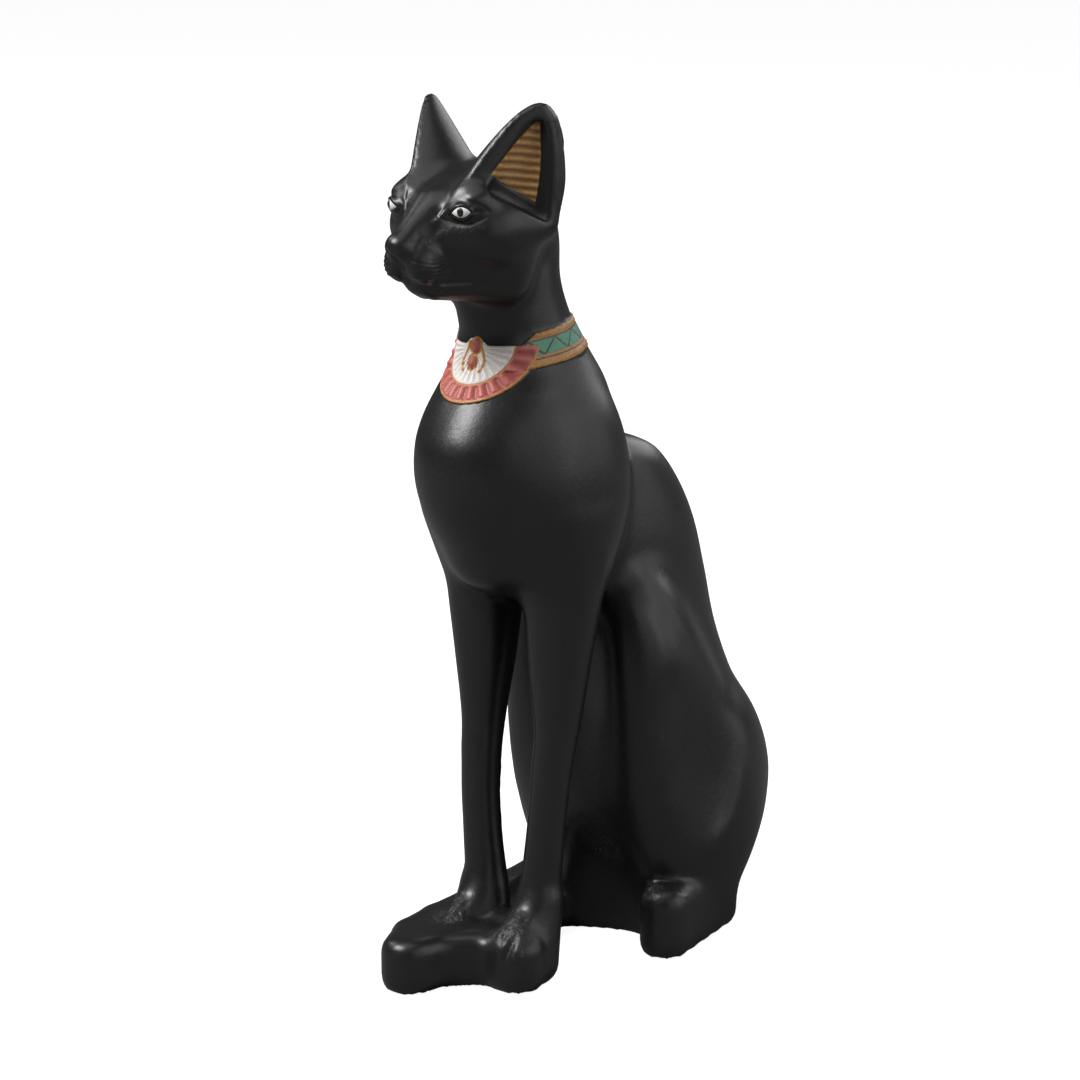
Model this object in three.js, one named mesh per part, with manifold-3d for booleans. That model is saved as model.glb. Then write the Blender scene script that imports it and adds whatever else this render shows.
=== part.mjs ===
// Seated Egyptian cat figure, cast in one piece with its flat underside.
//
// The whole figure is one blended form: rounded masses that flow into each other, each joint with
// its own width of fillet. The form is a signed field, below zero inside the cat. It is turned into
// triangles on an even grid, thinned where the surface is flat, and cut level at the floor.
//
// Frame: millimetres, +Z up. The cat faces -Y and its left side is +X. The origin is the middle of
// the footprint, on the floor.

import * as THREE from "three";
import Module from "manifold-3d";

// Height in millimetres, and how far a point may be moved when needless ones are dropped
const HEIGHT = 200;
const FLATNESS = 0.02;

// Triangles left in the finished solid before the underside is cut
const TRIANGLE_BUDGET = 9300;

// Every size below is a share of the height, in hundredths of it, measured from the axis of the
// forelegs on the floor
const UNIT = HEIGHT / 100;

// Step of the grid that the surface is found on
const GRID_STEP = 0.5;

// How far the walls run below the floor before the level cut
const SUNK = 2;

// Space that the grid covers
const SPACE = { low: [-15.5, -21, -SUNK - 1.2], high: [15.5, 41, 101.5] };

// Colour and finish of the cast
const BLACK_GLAZE = { color: 0x0e0e0f, roughness: 0.34, metalness: 0 };

// Neck and chest: level sections from the breastbone up to the back of the skull
const NECK_CHEST = [
  { z: 44, y: 0.5, wide: 3, deep: 4 },
  { z: 46.5, y: 0, wide: 5.9, deep: 7 },
  { z: 50, y: 0.1, wide: 7.6, deep: 9.1 },
  { z: 54, y: 0.1, wide: 9.1, deep: 11.3 },
  { z: 58, y: 0.1, wide: 9.7, deep: 12.6 },
  { z: 62, y: 0.4, wide: 9.7, deep: 12.8 },
  { z: 65, y: 0.9, wide: 9.3, deep: 12 },
  { z: 68, y: 1.4, wide: 8.2, deep: 10.6 },
  { z: 71, y: 1.5, wide: 6.8, deep: 8.7 },
  { z: 74, y: 0.8, wide: 5.7, deep: 7.4 },
  { z: 77, y: -0.3, wide: 5.3, deep: 7 },
  { z: 80, y: -1, wide: 5.1, deep: 6.8 },
  { z: 84, y: -1, wide: 5, deep: 6.7 },
  { z: 88, y: -1.6, wide: 5, deep: 6.4 },
];

// Trunk behind the forelegs: level sections, each with its own depth ahead and behind its widest line
const TRUNK = [
  { z: -3, y: 22, wide: 9.6, ahead: 9.2, behind: 11 },
  { z: 5, y: 22, wide: 11, ahead: 9.4, behind: 12.4 },
  { z: 9, y: 22, wide: 11.8, ahead: 9.8, behind: 13.2 },
  { z: 14, y: 21.4, wide: 12.6, ahead: 10.6, behind: 15.8 },
  { z: 19, y: 20.4, wide: 12.9, ahead: 10.6, behind: 18.2 },
  { z: 25, y: 19.2, wide: 12.3, ahead: 9.4, behind: 17.9 },
  { z: 30, y: 18, wide: 10.6, ahead: 7.4, behind: 16.5 },
  { z: 36, y: 16.8, wide: 8.7, ahead: 6.6, behind: 15.9 },
  { z: 43, y: 15.5, wide: 7.9, ahead: 7.6, behind: 15.6 },
  { z: 49, y: 15, wide: 7.5, ahead: 8.6, behind: 14.1 },
  { z: 54, y: 14.5, wide: 6.8, ahead: 7.6, behind: 11.7 },
  { z: 58, y: 13.7, wide: 6, ahead: 6.4, behind: 8.7 },
  { z: 60.4, y: 13.4, wide: 4.7, ahead: 4, behind: 4.8 },
];

// One foreleg: level sections from inside the paw up into the chest
const FORELEG = [
  { z: 6, x: 3.7, y: -1.6, wide: 2.9, deep: 3.6 },
  { z: 8, x: 3.8, y: -0.8, wide: 2.6, deep: 3 },
  { z: 11, x: 4.2, y: -0.5, wide: 2.35, deep: 2.5 },
  { z: 15, x: 4.65, y: -0.4, wide: 2.2, deep: 2.3 },
  { z: 20, x: 5.1, y: -0.2, wide: 2.15, deep: 2.3 },
  { z: 25, x: 5.35, y: 0.3, wide: 2.25, deep: 2.5 },
  { z: 29, x: 5.5, y: 0.9, wide: 2.45, deep: 2.8 },
  { z: 36, x: 5.5, y: 1.3, wide: 3.3, deep: 3.8 },
  { z: 42, x: 5.7, y: 1.6, wide: 3.9, deep: 4.6 },
  { z: 48, x: 6, y: 1.9, wide: 4.2, deep: 5.4 },
  { z: 54, x: 6, y: 2.2, wide: 4, deep: 6.5 },
];

// Ear: a pointed arch that leans back and looks outwards
const EAR = {
  tip: { x: 8.1, y: -4.6, z: 99.9 },
  facing: 62,
  spread: 2.04,
  slope: 0.35,
  lean: 0.03,
  backThick: 0.65,
  backFlare: 0.69,
  frontThick: 0.3,
  frontFlare: 0.05,
  length: 12,
  backLength: 2.5,
  tuck: 0.7,
};

// Hollow of the ear, inside its rim
const EAR_HOLLOW = {
  rim: 1.8,
  spread: 1.5,
  shift: 0.25,
  face: 1.35,
  depth: 2,
  tilt: 0.35,
  foot: 9.9,
  footSlope: 0.42,
};

// Collar around the foot of the neck, and the fan pendant on its front
const COLLAR = { middle: 72.9, rise: 0.11, half: 1.75, proud: 0.28, rib: 0.42, ribProud: 0.2 };
const PENDANT = {
  x: 0.4,
  z: 73,
  axisY: 1.2,
  axisGap: 8.1,
  radius: 6.5,
  top: 0.2,
  peak: 0.75,
  peakWidth: 1.1,
  proud: 0.3,
  rim: 0.35,
  rimProud: 0.12,
};

// Tail: it leaves the rump, follows the right side and ends ahead of the right forepaw
const TAIL_LINE = [
  { x: 1, y: 32, half: 3 },
  { x: -7, y: 29.5, half: 3.2 },
  { x: -10.8, y: 24, half: 3 },
  { x: -10.9, y: 17, half: 2.6 },
  { x: -9.6, y: 9, half: 2.4 },
  { x: -8.8, y: 2, half: 2.5 },
  { x: -8.1, y: -4, half: 2.6 },
  { x: -6.7, y: -9.5, half: 2.9 },
  { x: -4.2, y: -13.6, half: 3.1 },
];
const TAIL_TOP = 6.3;

// How the base walls draw in just above the floor
const FOOT = { height: 1.7, drawIn: 0.6 };

const { abs, cos, hypot, max, min, sign, sin, sqrt } = Math;
const radians = THREE.MathUtils.degToRad;

// Union and difference with a fillet of the given width

function join(a, b, fillet) {
  const h = max(fillet - abs(a - b), 0) / fillet;
  return min(a, b) - (h * h * fillet) / 4;
}

function overlap(a, b, fillet) {
  return -join(-a, -b, fillet);
}

function carve(body, tool, fillet) {
  return overlap(body, -tool, fillet);
}

// Rises smoothly from 0 at low to 1 at high
function ramp(value, low, high) {
  const t = min(max((value - low) / (high - low), 0), 1);
  return t * t * (3 - 2 * t);
}

// Distance to an ellipsoid that is first turned about Z, then tipped about X
function ellipsoid({ at, radii, yaw = 0, tip = 0 }) {
  const [cy, sy, cp, sp] = [cos(radians(yaw)), sin(radians(yaw)), cos(radians(tip)), sin(radians(tip))];
  const [rx, ry, rz] = radii;
  return (x, y, z) => {
    const dx = x - at[0];
    const dy = y - at[1];
    const dz = z - at[2];
    const u = dx * cy + dy * sy;
    const across = -dx * sy + dy * cy;
    const v = across * cp + dz * sp;
    const w = -across * sp + dz * cp;
    const near = hypot(u / rx, v / ry, w / rz);
    const steep = hypot(u / (rx * rx), v / (ry * ry), w / (rz * rz));
    return (near * (near - 1)) / max(steep, 1e-6);
  };
}

// Distance to a limb that tapers from one ball to another
function limb(from, to, fromRadius, toRadius) {
  const start = new THREE.Vector3(...from);
  const along = new THREE.Vector3(...to).sub(start);
  const lengthSquared = along.lengthSq();
  return (x, y, z) => {
    const dot = (x - start.x) * along.x + (y - start.y) * along.y + (z - start.z) * along.z;
    const t = THREE.MathUtils.clamp(dot / lengthSquared, 0, 1);
    const gap = hypot(x - start.x - t * along.x, y - start.y - t * along.y, z - start.z - t * along.z);
    return gap - fromRadius - (toRadius - fromRadius) * t;
  };
}

// Distance on the floor plan to a stroke that tapers from one round end to the other
function stroke(x, y, from, to) {
  const dx = to.x - from.x;
  const dy = to.y - from.y;
  const dot = (x - from.x) * dx + (y - from.y) * dy;
  const t = THREE.MathUtils.clamp(dot / (dx * dx + dy * dy), 0, 1);
  return hypot(x - from.x - t * dx, y - from.y - t * dy) - from.half - (to.half - from.half) * t;
}

// Distance to a wall under a level top with a rounded edge; the wall draws in just above the floor
function slab(plan, z, top, edge) {
  const low = max(FOOT.height - z, 0);
  return overlap(plan + FOOT.drawIn * (low / FOOT.height) ** 2, z - top, edge);
}

// Reads one size off a list of sections at height z, along a smooth curve through the sections
function reader(sections, size) {
  const last = sections.length - 1;
  const slopes = sections.map((section, i) => {
    const below = sections[max(i - 1, 0)];
    const above = sections[min(i + 1, last)];
    return (above[size] - below[size]) / (above.z - below.z);
  });
  return (z) => {
    let i = 0;
    while (i < last - 1 && z > sections[i + 1].z) i += 1;
    const from = sections[i];
    const to = sections[i + 1];
    const span = to.z - from.z;
    const t = THREE.MathUtils.clamp((z - from.z) / span, 0, 1);
    const rest = 1 - t;
    const ends = from[size] * (1 + 2 * t) * rest * rest + to[size] * t * t * (3 - 2 * t);
    return ends + span * t * rest * (slopes[i] * rest - slopes[i + 1] * t);
  };
}

// Distance to a column of oval sections with softened ends
function column(sections, softness) {
  const x0 = sections[0].x === undefined ? () => 0 : reader(sections, "x");
  const y0 = reader(sections, "y");
  const wide = reader(sections, "wide");
  const deep = reader(sections, "deep");
  const top = sections[sections.length - 1].z;
  const bottom = sections[0].z;
  return (x, y, z) => {
    const d = oval(x - x0(z), y - y0(z), wide(z), deep(z));
    return overlap(overlap(d, z - top, softness), bottom - z, softness);
  };
}

function oval(u, v, halfU, halfV) {
  const near = hypot(u / halfU, v / halfV);
  const steep = hypot(u / (halfU * halfU), v / (halfV * halfV));
  return (near * (near - 1)) / max(steep, 1e-6);
}

// Neck, chest and shoulders

const neckAndChest = column(NECK_CHEST, 2);
const shoulder = ellipsoid({ at: [6, 2.6, 55.5], radii: [4.8, 8.9, 11], tip: -6 });
const foreleg = column(FORELEG, 2);

function frontHalf(side, y, z) {
  const chest = join(neckAndChest(side, y, z), shoulder(side, y, z), 3);
  return join(chest, foreleg(side, y, z), 2.5);
}

// Trunk and haunches: the trunk is squarer in front than behind

const trunkSize = Object.fromEntries(
  ["y", "wide", "ahead", "behind"].map((size) => [size, reader(TRUNK, size)]),
);
const TRUNK_END = 3;
const SQUARE_FRONT = 2.8;
const ROUND_BACK = 2.15;

function trunk(side, y, z) {
  const wide = trunkSize.wide(z);
  const back = y - trunkSize.y(z);
  const deep = back < 0 ? trunkSize.ahead(z) : trunkSize.behind(z);
  const power = back < 0 ? SQUARE_FRONT : ROUND_BACK;
  const u = side / wide;
  const v = abs(back) / deep;
  const near = (u ** power + v ** power) ** (1 / power);
  const steep = hypot(u / wide, v / deep) / max(hypot(u, v), 1e-3);
  const d = (near - 1) / max(steep, 1e-3);
  const top = TRUNK[TRUNK.length - 1].z;
  return overlap(overlap(d, z - top, TRUNK_END), TRUNK[0].z - z, TRUNK_END);
}

const thigh = ellipsoid({ at: [7.4, 18.2, 24.5], radii: [5.6, 7.6, 20], tip: 16 });
const haunch = ellipsoid({ at: [6.4, 24.6, 16], radii: [6.2, 10.8, 12.5] });
const flankHollow = ellipsoid({ at: [13.8, 18, 24], radii: [1.5, 4.5, 8], tip: 8 });

// The left flank is scooped out low down, between the forepaw and the hind paw
const leftScoop = ellipsoid({ at: [3.3, 6.7, -1], radii: [8, 10, 15.5] });

function rearHalf(x, side, y, z) {
  const leg = join(thigh(side, y, z), haunch(side, y, z), 1.5);
  let d = join(trunk(side, y, z), leg, 4);
  d = carve(d, flankHollow(side, y, z), 4);
  return carve(d, leftScoop(x, y, z), 3);
}

// Ears

const earTurn = radians(EAR.facing);
const earFace = { x: sin(earTurn), y: -cos(earTurn) };
const earAlong = { x: cos(earTurn), y: sin(earTurn) };

// Place in the ear: u towards its back edge, w out of its face, down from the tip or above it
function inEar(side, y, z) {
  const down = max(EAR.tip.z - z, 0.01);
  const dx = side - EAR.tip.x;
  const dy = y - EAR.tip.y;
  const u = dx * earAlong.x + dy * earAlong.y + EAR.slope * down;
  const w = dx * earFace.x + dy * earFace.y + EAR.lean * down;
  return { u, w, down, above: z - EAR.tip.z };
}

function ear({ u, w, down, above }) {
  const half = EAR.spread * sqrt(down);
  const thick = w < 0 ? EAR.backThick + EAR.backFlare * down : EAR.frontThick + EAR.frontFlare * down;
  const tuck = EAR.tuck * ramp(down, 8, 14) * ramp(u, 0, 3);
  const foot = down - EAR.length - EAR.backLength * ramp(u, 1, 4);
  return overlap(overlap(oval(u + tuck, w, half, thick), above, 0.5), foot, 1.5);
}

function earHollow({ u, w, down }) {
  const inner = max(down - EAR_HOLLOW.rim, 0.01);
  const half = EAR_HOLLOW.spread * sqrt(inner);
  const depth = EAR_HOLLOW.depth + EAR_HOLLOW.tilt * (u / half);
  const scoop = oval(u - EAR_HOLLOW.shift - EAR.lean * inner, w - EAR_HOLLOW.face, half, depth);
  const foot = down - EAR_HOLLOW.foot - EAR_HOLLOW.footSlope * (u + 2);
  return overlap(overlap(scoop, EAR_HOLLOW.rim - down, 0.3), foot, 1);
}

// Head: masses in the order they are laid on, each with the fillet of its joint

const HEAD_MASSES = [
  { form: ellipsoid({ at: [0, -9, 87.3], radii: [7.2, 6.6, 4.9], tip: 22 }), fillet: 1.5 },
  { form: ellipsoid({ at: [5.4, -7.4, 86.2], radii: [3.3, 5, 3.9] }), fillet: 2 },
  { form: limb([0, -12.5, 86], [0, -16, 84.4], 3.5, 2.3), fillet: 1.2 },
  { form: limb([0, -13, 88.9], [0, -18.1, 85.5], 1.9, 1.15), fillet: 1.4 },
  { form: limb([0.6, -13.5, 81.05], [3.3, -5.6, 81.3], 2.1, 3.4), fillet: 3.4 },
  { form: ellipsoid({ at: [4.4, -10.4, 89.8], radii: [2.3, 3.1, 1.9], yaw: 20 }), fillet: 1.2 },
  { form: ellipsoid({ at: [1.75, -16.2, 83.35], radii: [1.5, 2.05, 1.65] }), fillet: 1.9 },
  { form: ellipsoid({ at: [0, -15.6, 81.1], radii: [1.5, 1.7, 1.2] }), fillet: 0.9 },
  { form: ellipsoid({ at: [0, -18.55, 85.2], radii: [1.15, 0.9, 0.85], tip: 30 }), fillet: 1.3 },
];
const skull = ellipsoid({ at: [0, -4.6, 87.2], radii: [8, 7.6, 5.9], tip: 12 });
const eyeSocket = ellipsoid({ at: [4.5, -16.2, 88.9], radii: [2.5, 2.6, 1.5], yaw: 24 });
const eyeball = ellipsoid({ at: [4.4, -12.6, 88.9], radii: [1.6, 1.9, 1.3], yaw: 24 });
const mouth = limb([0.6, -17.6, 81.5], [3.6, -12.2, 80.8], 0.4, 0.15);

function head(side, y, z) {
  let d = skull(side, y, z);
  for (const { form, fillet } of HEAD_MASSES) d = join(d, form(side, y, z), fillet);
  d = carve(d, eyeSocket(side, y, z), 0.8);
  d = join(d, eyeball(side, y, z), 0.4);
  d = carve(d, mouth(side, y, z), 0.6);
  const place = inEar(side, y, z);
  d = join(d, ear(place), 1.3);
  return carve(d, earHollow(place), 0.3);
}

// Collar and pendant: raised plates that follow the neck and the top of the chest

function plate(skin, edge, proud) {
  return overlap(skin - proud, edge, 0.25);
}

function collar(skin, y, z) {
  const across = abs(z - COLLAR.middle - COLLAR.rise * y);
  const band = plate(skin, across - COLLAR.half, COLLAR.proud);
  const rib = abs(across - COLLAR.half + COLLAR.rib / 2) - COLLAR.rib / 2;
  return min(band, plate(skin, rib, COLLAR.proud + COLLAR.ribProud));
}

// The fan's reach is measured over the skin, from the middle of its top edge
function pendant(skin, x, y, z) {
  const roundAxis = hypot(x, y - PENDANT.axisY);
  const along = roundAxis * Math.atan2(x, PENDANT.axisY - y) - PENDANT.x;
  const down = hypot(PENDANT.z - z, max(roundAxis - PENDANT.axisGap, 0));
  const reach = hypot(along, down) - PENDANT.radius;
  const peak = PENDANT.peak * Math.exp(-(((x - PENDANT.x) / PENDANT.peakWidth) ** 4));
  const outline = max(reach, z - PENDANT.z - PENDANT.top - peak, y);
  const rim = max(outline, -PENDANT.rim - reach);
  return min(plate(skin, outline, PENDANT.proud), plate(skin, rim, PENDANT.proud + PENDANT.rimProud));
}

// Base: tail, paws and the web of material between them, all with upright walls

const forepaw = { from: { x: 4.2, y: -1.8, half: 2.6 }, to: { x: 4.9, y: -5.4, half: 3.2 } };
const leftHindpaw = { from: { x: 7.8, y: 26.5, half: 3 }, to: { x: 10.7, y: 14, half: 2.9 }, top: 8.3 };
const rightHindpaw = { from: { x: -8, y: 27, half: 2.8 }, to: { x: -9.2, y: 17.2, half: 2.4 }, top: 7.6 };
const ankleWeb = { from: { x: -3.4, y: -1.4, half: 1.7 }, to: { x: 3.4, y: -1.4, half: 1.7 }, top: 6.8 };
const pawWeb = { from: { x: -3.6, y: -9.8, half: 3.2 }, to: { x: 1.2, y: -4.6, half: 3.2 } };
const tailWeb = { from: { x: -5.2, y: -9, half: 2.6 }, to: { x: -6.6, y: 20, half: 2.6 }, top: 5 };
const rumpFoot = { from: { x: -3, y: 24, half: 6 }, to: { x: 1, y: 28.8, half: 5 }, top: 7 };
const instep = limb([4, -1.2, 7.6], [4.7, -5.6, 5.6], 2.3, 1.9);
const outerAnkle = limb([4.6, -0.8, 9], [4.8, -2, 2], 2.4, 2.3);
const toeGroove = [-1.2, 0, 1.2].map((shift) =>
  limb([4.4 + shift * 0.9, -4.6, 8], [4.9 + shift * 1.3, -8.6, 5.8], 0.15, 0.3),
);
const tailSlot = limb([-5.4, -7.6, 7.2], [-7.2, 1.5, 7], 0.7, 0.9);
const toeWallGroove = limb([6.4, -6.2, 8.4], [5.7, -8.9, 3.8], 0.3, 0.4);
const hindSlit = limb([9.3, 12, 7.9], [13.2, 15.6, 7.6], 0.45, 0.3);

function paw(x, y, z, { from, to, top }, edge) {
  return slab(stroke(x, y, from, to), z, top, edge);
}

// The tail and the forepaws share one wall and one level top
function forefoot(x, side, y, z) {
  let plan = Infinity;
  for (let i = 1; i < TAIL_LINE.length; i += 1) {
    const piece = stroke(x, y, TAIL_LINE[i - 1], TAIL_LINE[i]);
    plan = i === 1 ? piece : join(plan, piece, 0.6);
  }
  const paws = join(stroke(side, y, forepaw.from, forepaw.to), stroke(x, y, pawWeb.from, pawWeb.to), 2.4);
  return slab(join(plan, paws, 2.4), z, TAIL_TOP, 2.2);
}

function base(x, side, y, z) {
  let d = join(forefoot(x, side, y, z), paw(x, y, z, ankleWeb, 1.5), 1.5);
  d = join(d, paw(x, y, z, tailWeb, 1.5), 1);
  d = join(d, paw(x, y, z, leftHindpaw, 2.6), 3);
  d = join(d, paw(x, y, z, rightHindpaw, 1.6), 1.4);
  d = join(d, paw(x, y, z, rumpFoot, 2), 2);
  d = join(d, instep(side, y, z), 1.2);
  d = join(d, outerAnkle(side, y, z), 1.2);
  return carve(d, tailSlot(x, y, z), 0.5);
}

// The whole cat; side is the distance from the middle plane, the same on the left and the right
function cat(x, y, z) {
  const side = abs(x);
  let d = frontHalf(side, y, z);
  if (z < 66) d = join(d, rearHalf(x, side, y, z), 2);
  if (z > 73) d = join(d, head(side, y, z), 1.6);
  if (abs(z - COLLAR.middle) < 8) {
    const skin = neckAndChest(side, y, z);
    d = min(d, collar(skin, y, z), pendant(skin, x, y, z));
  }
  if (z > 12) return overlap(d, -SUNK - z, 0.5);
  d = join(d, base(x, side, y, z), 0.9);
  for (const groove of toeGroove) d = carve(d, groove(side, y, z), 0.3);
  d = carve(d, toeWallGroove(x, y, z), 0.4);
  d = carve(d, hindSlit(x, y, z), 0.3);
  return overlap(d, -SUNK - z, 0.5);
}

// Samples the field on the grid. Blocks far from the surface are filled from one coarse sample.
function sampleField(step) {
  const counts = SPACE.low.map((low, axis) => Math.ceil((SPACE.high[axis] - low) / step) + 1);
  const [nx, ny, nz] = counts;
  const values = new Float32Array(nx * ny * nz);
  const block = 4;
  const reach = 1.3 * block * step + 0.8;
  for (let i0 = 0; i0 < nx; i0 += block) {
    for (let j0 = 0; j0 < ny; j0 += block) {
      for (let k0 = 0; k0 < nz; k0 += block) {
        const middle = [i0, j0, k0].map((index, axis) => SPACE.low[axis] + (index + block / 2) * step);
        const coarse = cat(...middle);
        const far = abs(coarse) > reach;
        for (let i = i0; i < min(i0 + block, nx); i += 1) {
          for (let j = j0; j < min(j0 + block, ny); j += 1) {
            for (let k = k0; k < min(k0 + block, nz); k += 1) {
              const x = SPACE.low[0] + i * step;
              const y = SPACE.low[1] + j * step;
              const z = SPACE.low[2] + k * step;
              values[(i * ny + j) * nz + k] = far ? coarse : cat(x, y, z);
            }
          }
        }
      }
    }
  }
  return { values, counts };
}

// Gives each square of the grid whose corners lie inside and outside in turn a plain answer, by
// moving its least certain corner across the surface, so that the mesh never touches itself
function settle({ values, counts }) {
  const [nx, ny, nz] = counts;
  const strides = [ny * nz, nz, 1];
  let changed = 1;
  while (changed > 0) {
    changed = 0;
    for (let i = 0; i < nx - 1; i += 1) {
      for (let j = 0; j < ny - 1; j += 1) {
        for (let k = 0; k < nz - 1; k += 1) {
          const here = (i * ny + j) * nz + k;
          for (let axis = 0; axis < 3; axis += 1) {
            const u = strides[axis];
            const v = strides[(axis + 1) % 3];
            const square = [here, here + u, here + u + v, here + v];
            const [a, b, c, d] = square.map((at) => values[at] < 0);
            if (a !== c || b !== d || a === b) continue;
            const least = square.reduce((best, at) => (abs(values[at]) < abs(values[best]) ? at : best));
            values[least] = values[least] < 0 ? 1e-3 : -1e-3;
            changed += 1;
          }
        }
      }
    }
  }
  return { values, counts };
}

// Turns the sampled field into a closed mesh: one vertex in each cell that the surface crosses, and
// two triangles over each grid edge that it crosses
function meshField({ values, counts }, step) {
  const [nx, ny, nz] = counts;
  const strides = [ny * nz, nz, 1];
  const vertexOf = new Int32Array(nx * ny * nz).fill(-1);
  const points = [];
  const corners = [0, 1, 2, 3, 4, 5, 6, 7].map((bits) => [bits & 1, (bits >> 1) & 1, (bits >> 2) & 1]);
  const offsets = corners.map((c) => c[0] * strides[0] + c[1] * strides[1] + c[2] * strides[2]);
  const edges = [];
  for (let a = 0; a < 8; a += 1) {
    for (const bit of [1, 2, 4]) if (!(a & bit)) edges.push([a, a | bit]);
  }
  for (let i = 0; i < nx - 1; i += 1) {
    for (let j = 0; j < ny - 1; j += 1) {
      for (let k = 0; k < nz - 1; k += 1) {
        const cell = (i * ny + j) * nz + k;
        const sum = [0, 0, 0];
        let crossings = 0;
        for (const [a, b] of edges) {
          const fa = values[cell + offsets[a]];
          const fb = values[cell + offsets[b]];
          if (fa < 0 === fb < 0) continue;
          const t = fa / (fa - fb);
          for (let axis = 0; axis < 3; axis += 1) {
            sum[axis] += corners[a][axis] + (corners[b][axis] - corners[a][axis]) * t;
          }
          crossings += 1;
        }
        if (crossings === 0) continue;
        vertexOf[cell] = points.length;
        points.push([i, j, k].map((index, axis) => SPACE.low[axis] + (index + sum[axis] / crossings) * step));
      }
    }
  }
  const triangles = [];
  for (let i = 1; i < nx - 1; i += 1) {
    for (let j = 1; j < ny - 1; j += 1) {
      for (let k = 1; k < nz - 1; k += 1) {
        const here = (i * ny + j) * nz + k;
        for (let axis = 0; axis < 3; axis += 1) {
          const inside = values[here] < 0;
          if (inside === values[here + strides[axis]] < 0) continue;
          const u = strides[(axis + 1) % 3];
          const v = strides[(axis + 2) % 3];
          const ring = [here - u - v, here - v, here, here - u].map((cell) => vertexOf[cell]);
          if (!inside) ring.reverse();
          triangles.push([ring[0], ring[1], ring[2]], [ring[0], ring[2], ring[3]]);
        }
      }
    }
  }
  return { points, triangles };
}

// How closely the thinned mesh keeps to the form at a point: the head, collar and paws stay finest
function careAt([x, y, z]) {
  if (z > 78) return 5;
  if (z > 66 && z < 76) return 3;
  if (z < 10 && y < 2) return 2;
  return x > 6 && z < 10 && y < 18 ? 2 : 1;
}

// Heap of edges, cheapest first
class EdgeHeap {
  items = [];

  push(item) {
    const { items } = this;
    let at = items.length;
    items.push(item);
    while (at > 0) {
      const parent = (at - 1) >> 1;
      if (items[parent].cost <= item.cost) break;
      items[at] = items[parent];
      at = parent;
    }
    items[at] = item;
  }

  pop() {
    const { items } = this;
    const first = items[0];
    const item = items.pop();
    if (items.length === 0) return first;
    let at = 0;
    for (;;) {
      let child = 2 * at + 1;
      if (child >= items.length) break;
      if (child + 1 < items.length && items[child + 1].cost < items[child].cost) child += 1;
      if (items[child].cost >= item.cost) break;
      items[at] = items[child];
      at = child;
    }
    items[at] = item;
    return first;
  }
}

// Error matrices: ten numbers hold the squared distance to a set of planes
const planeTerms = (a, b, c, d, w) => [
  a * a * w, a * b * w, a * c * w, a * d * w, b * b * w, b * c * w, b * d * w, c * c * w, c * d * w, d * d * w,
];

function planeError(q, [x, y, z]) {
  const second = q[0] * x * x + q[4] * y * y + q[7] * z * z;
  const mixed = q[1] * x * y + q[2] * x * z + q[5] * y * z;
  const first = q[3] * x + q[6] * y + q[8] * z;
  return second + 2 * mixed + 2 * first + q[9];
}

// Point with the least error, or null where the planes don't fix one
function leastErrorPoint(q) {
  const m = new THREE.Matrix3().set(q[0], q[1], q[2], q[1], q[4], q[5], q[2], q[5], q[7]);
  const size = (q[0] + q[4] + q[7]) / 3;
  if (m.determinant() < 1e-3 * size ** 3) return null;
  return new THREE.Vector3(-q[3], -q[6], -q[8]).applyMatrix3(m.invert()).toArray();
}

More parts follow.
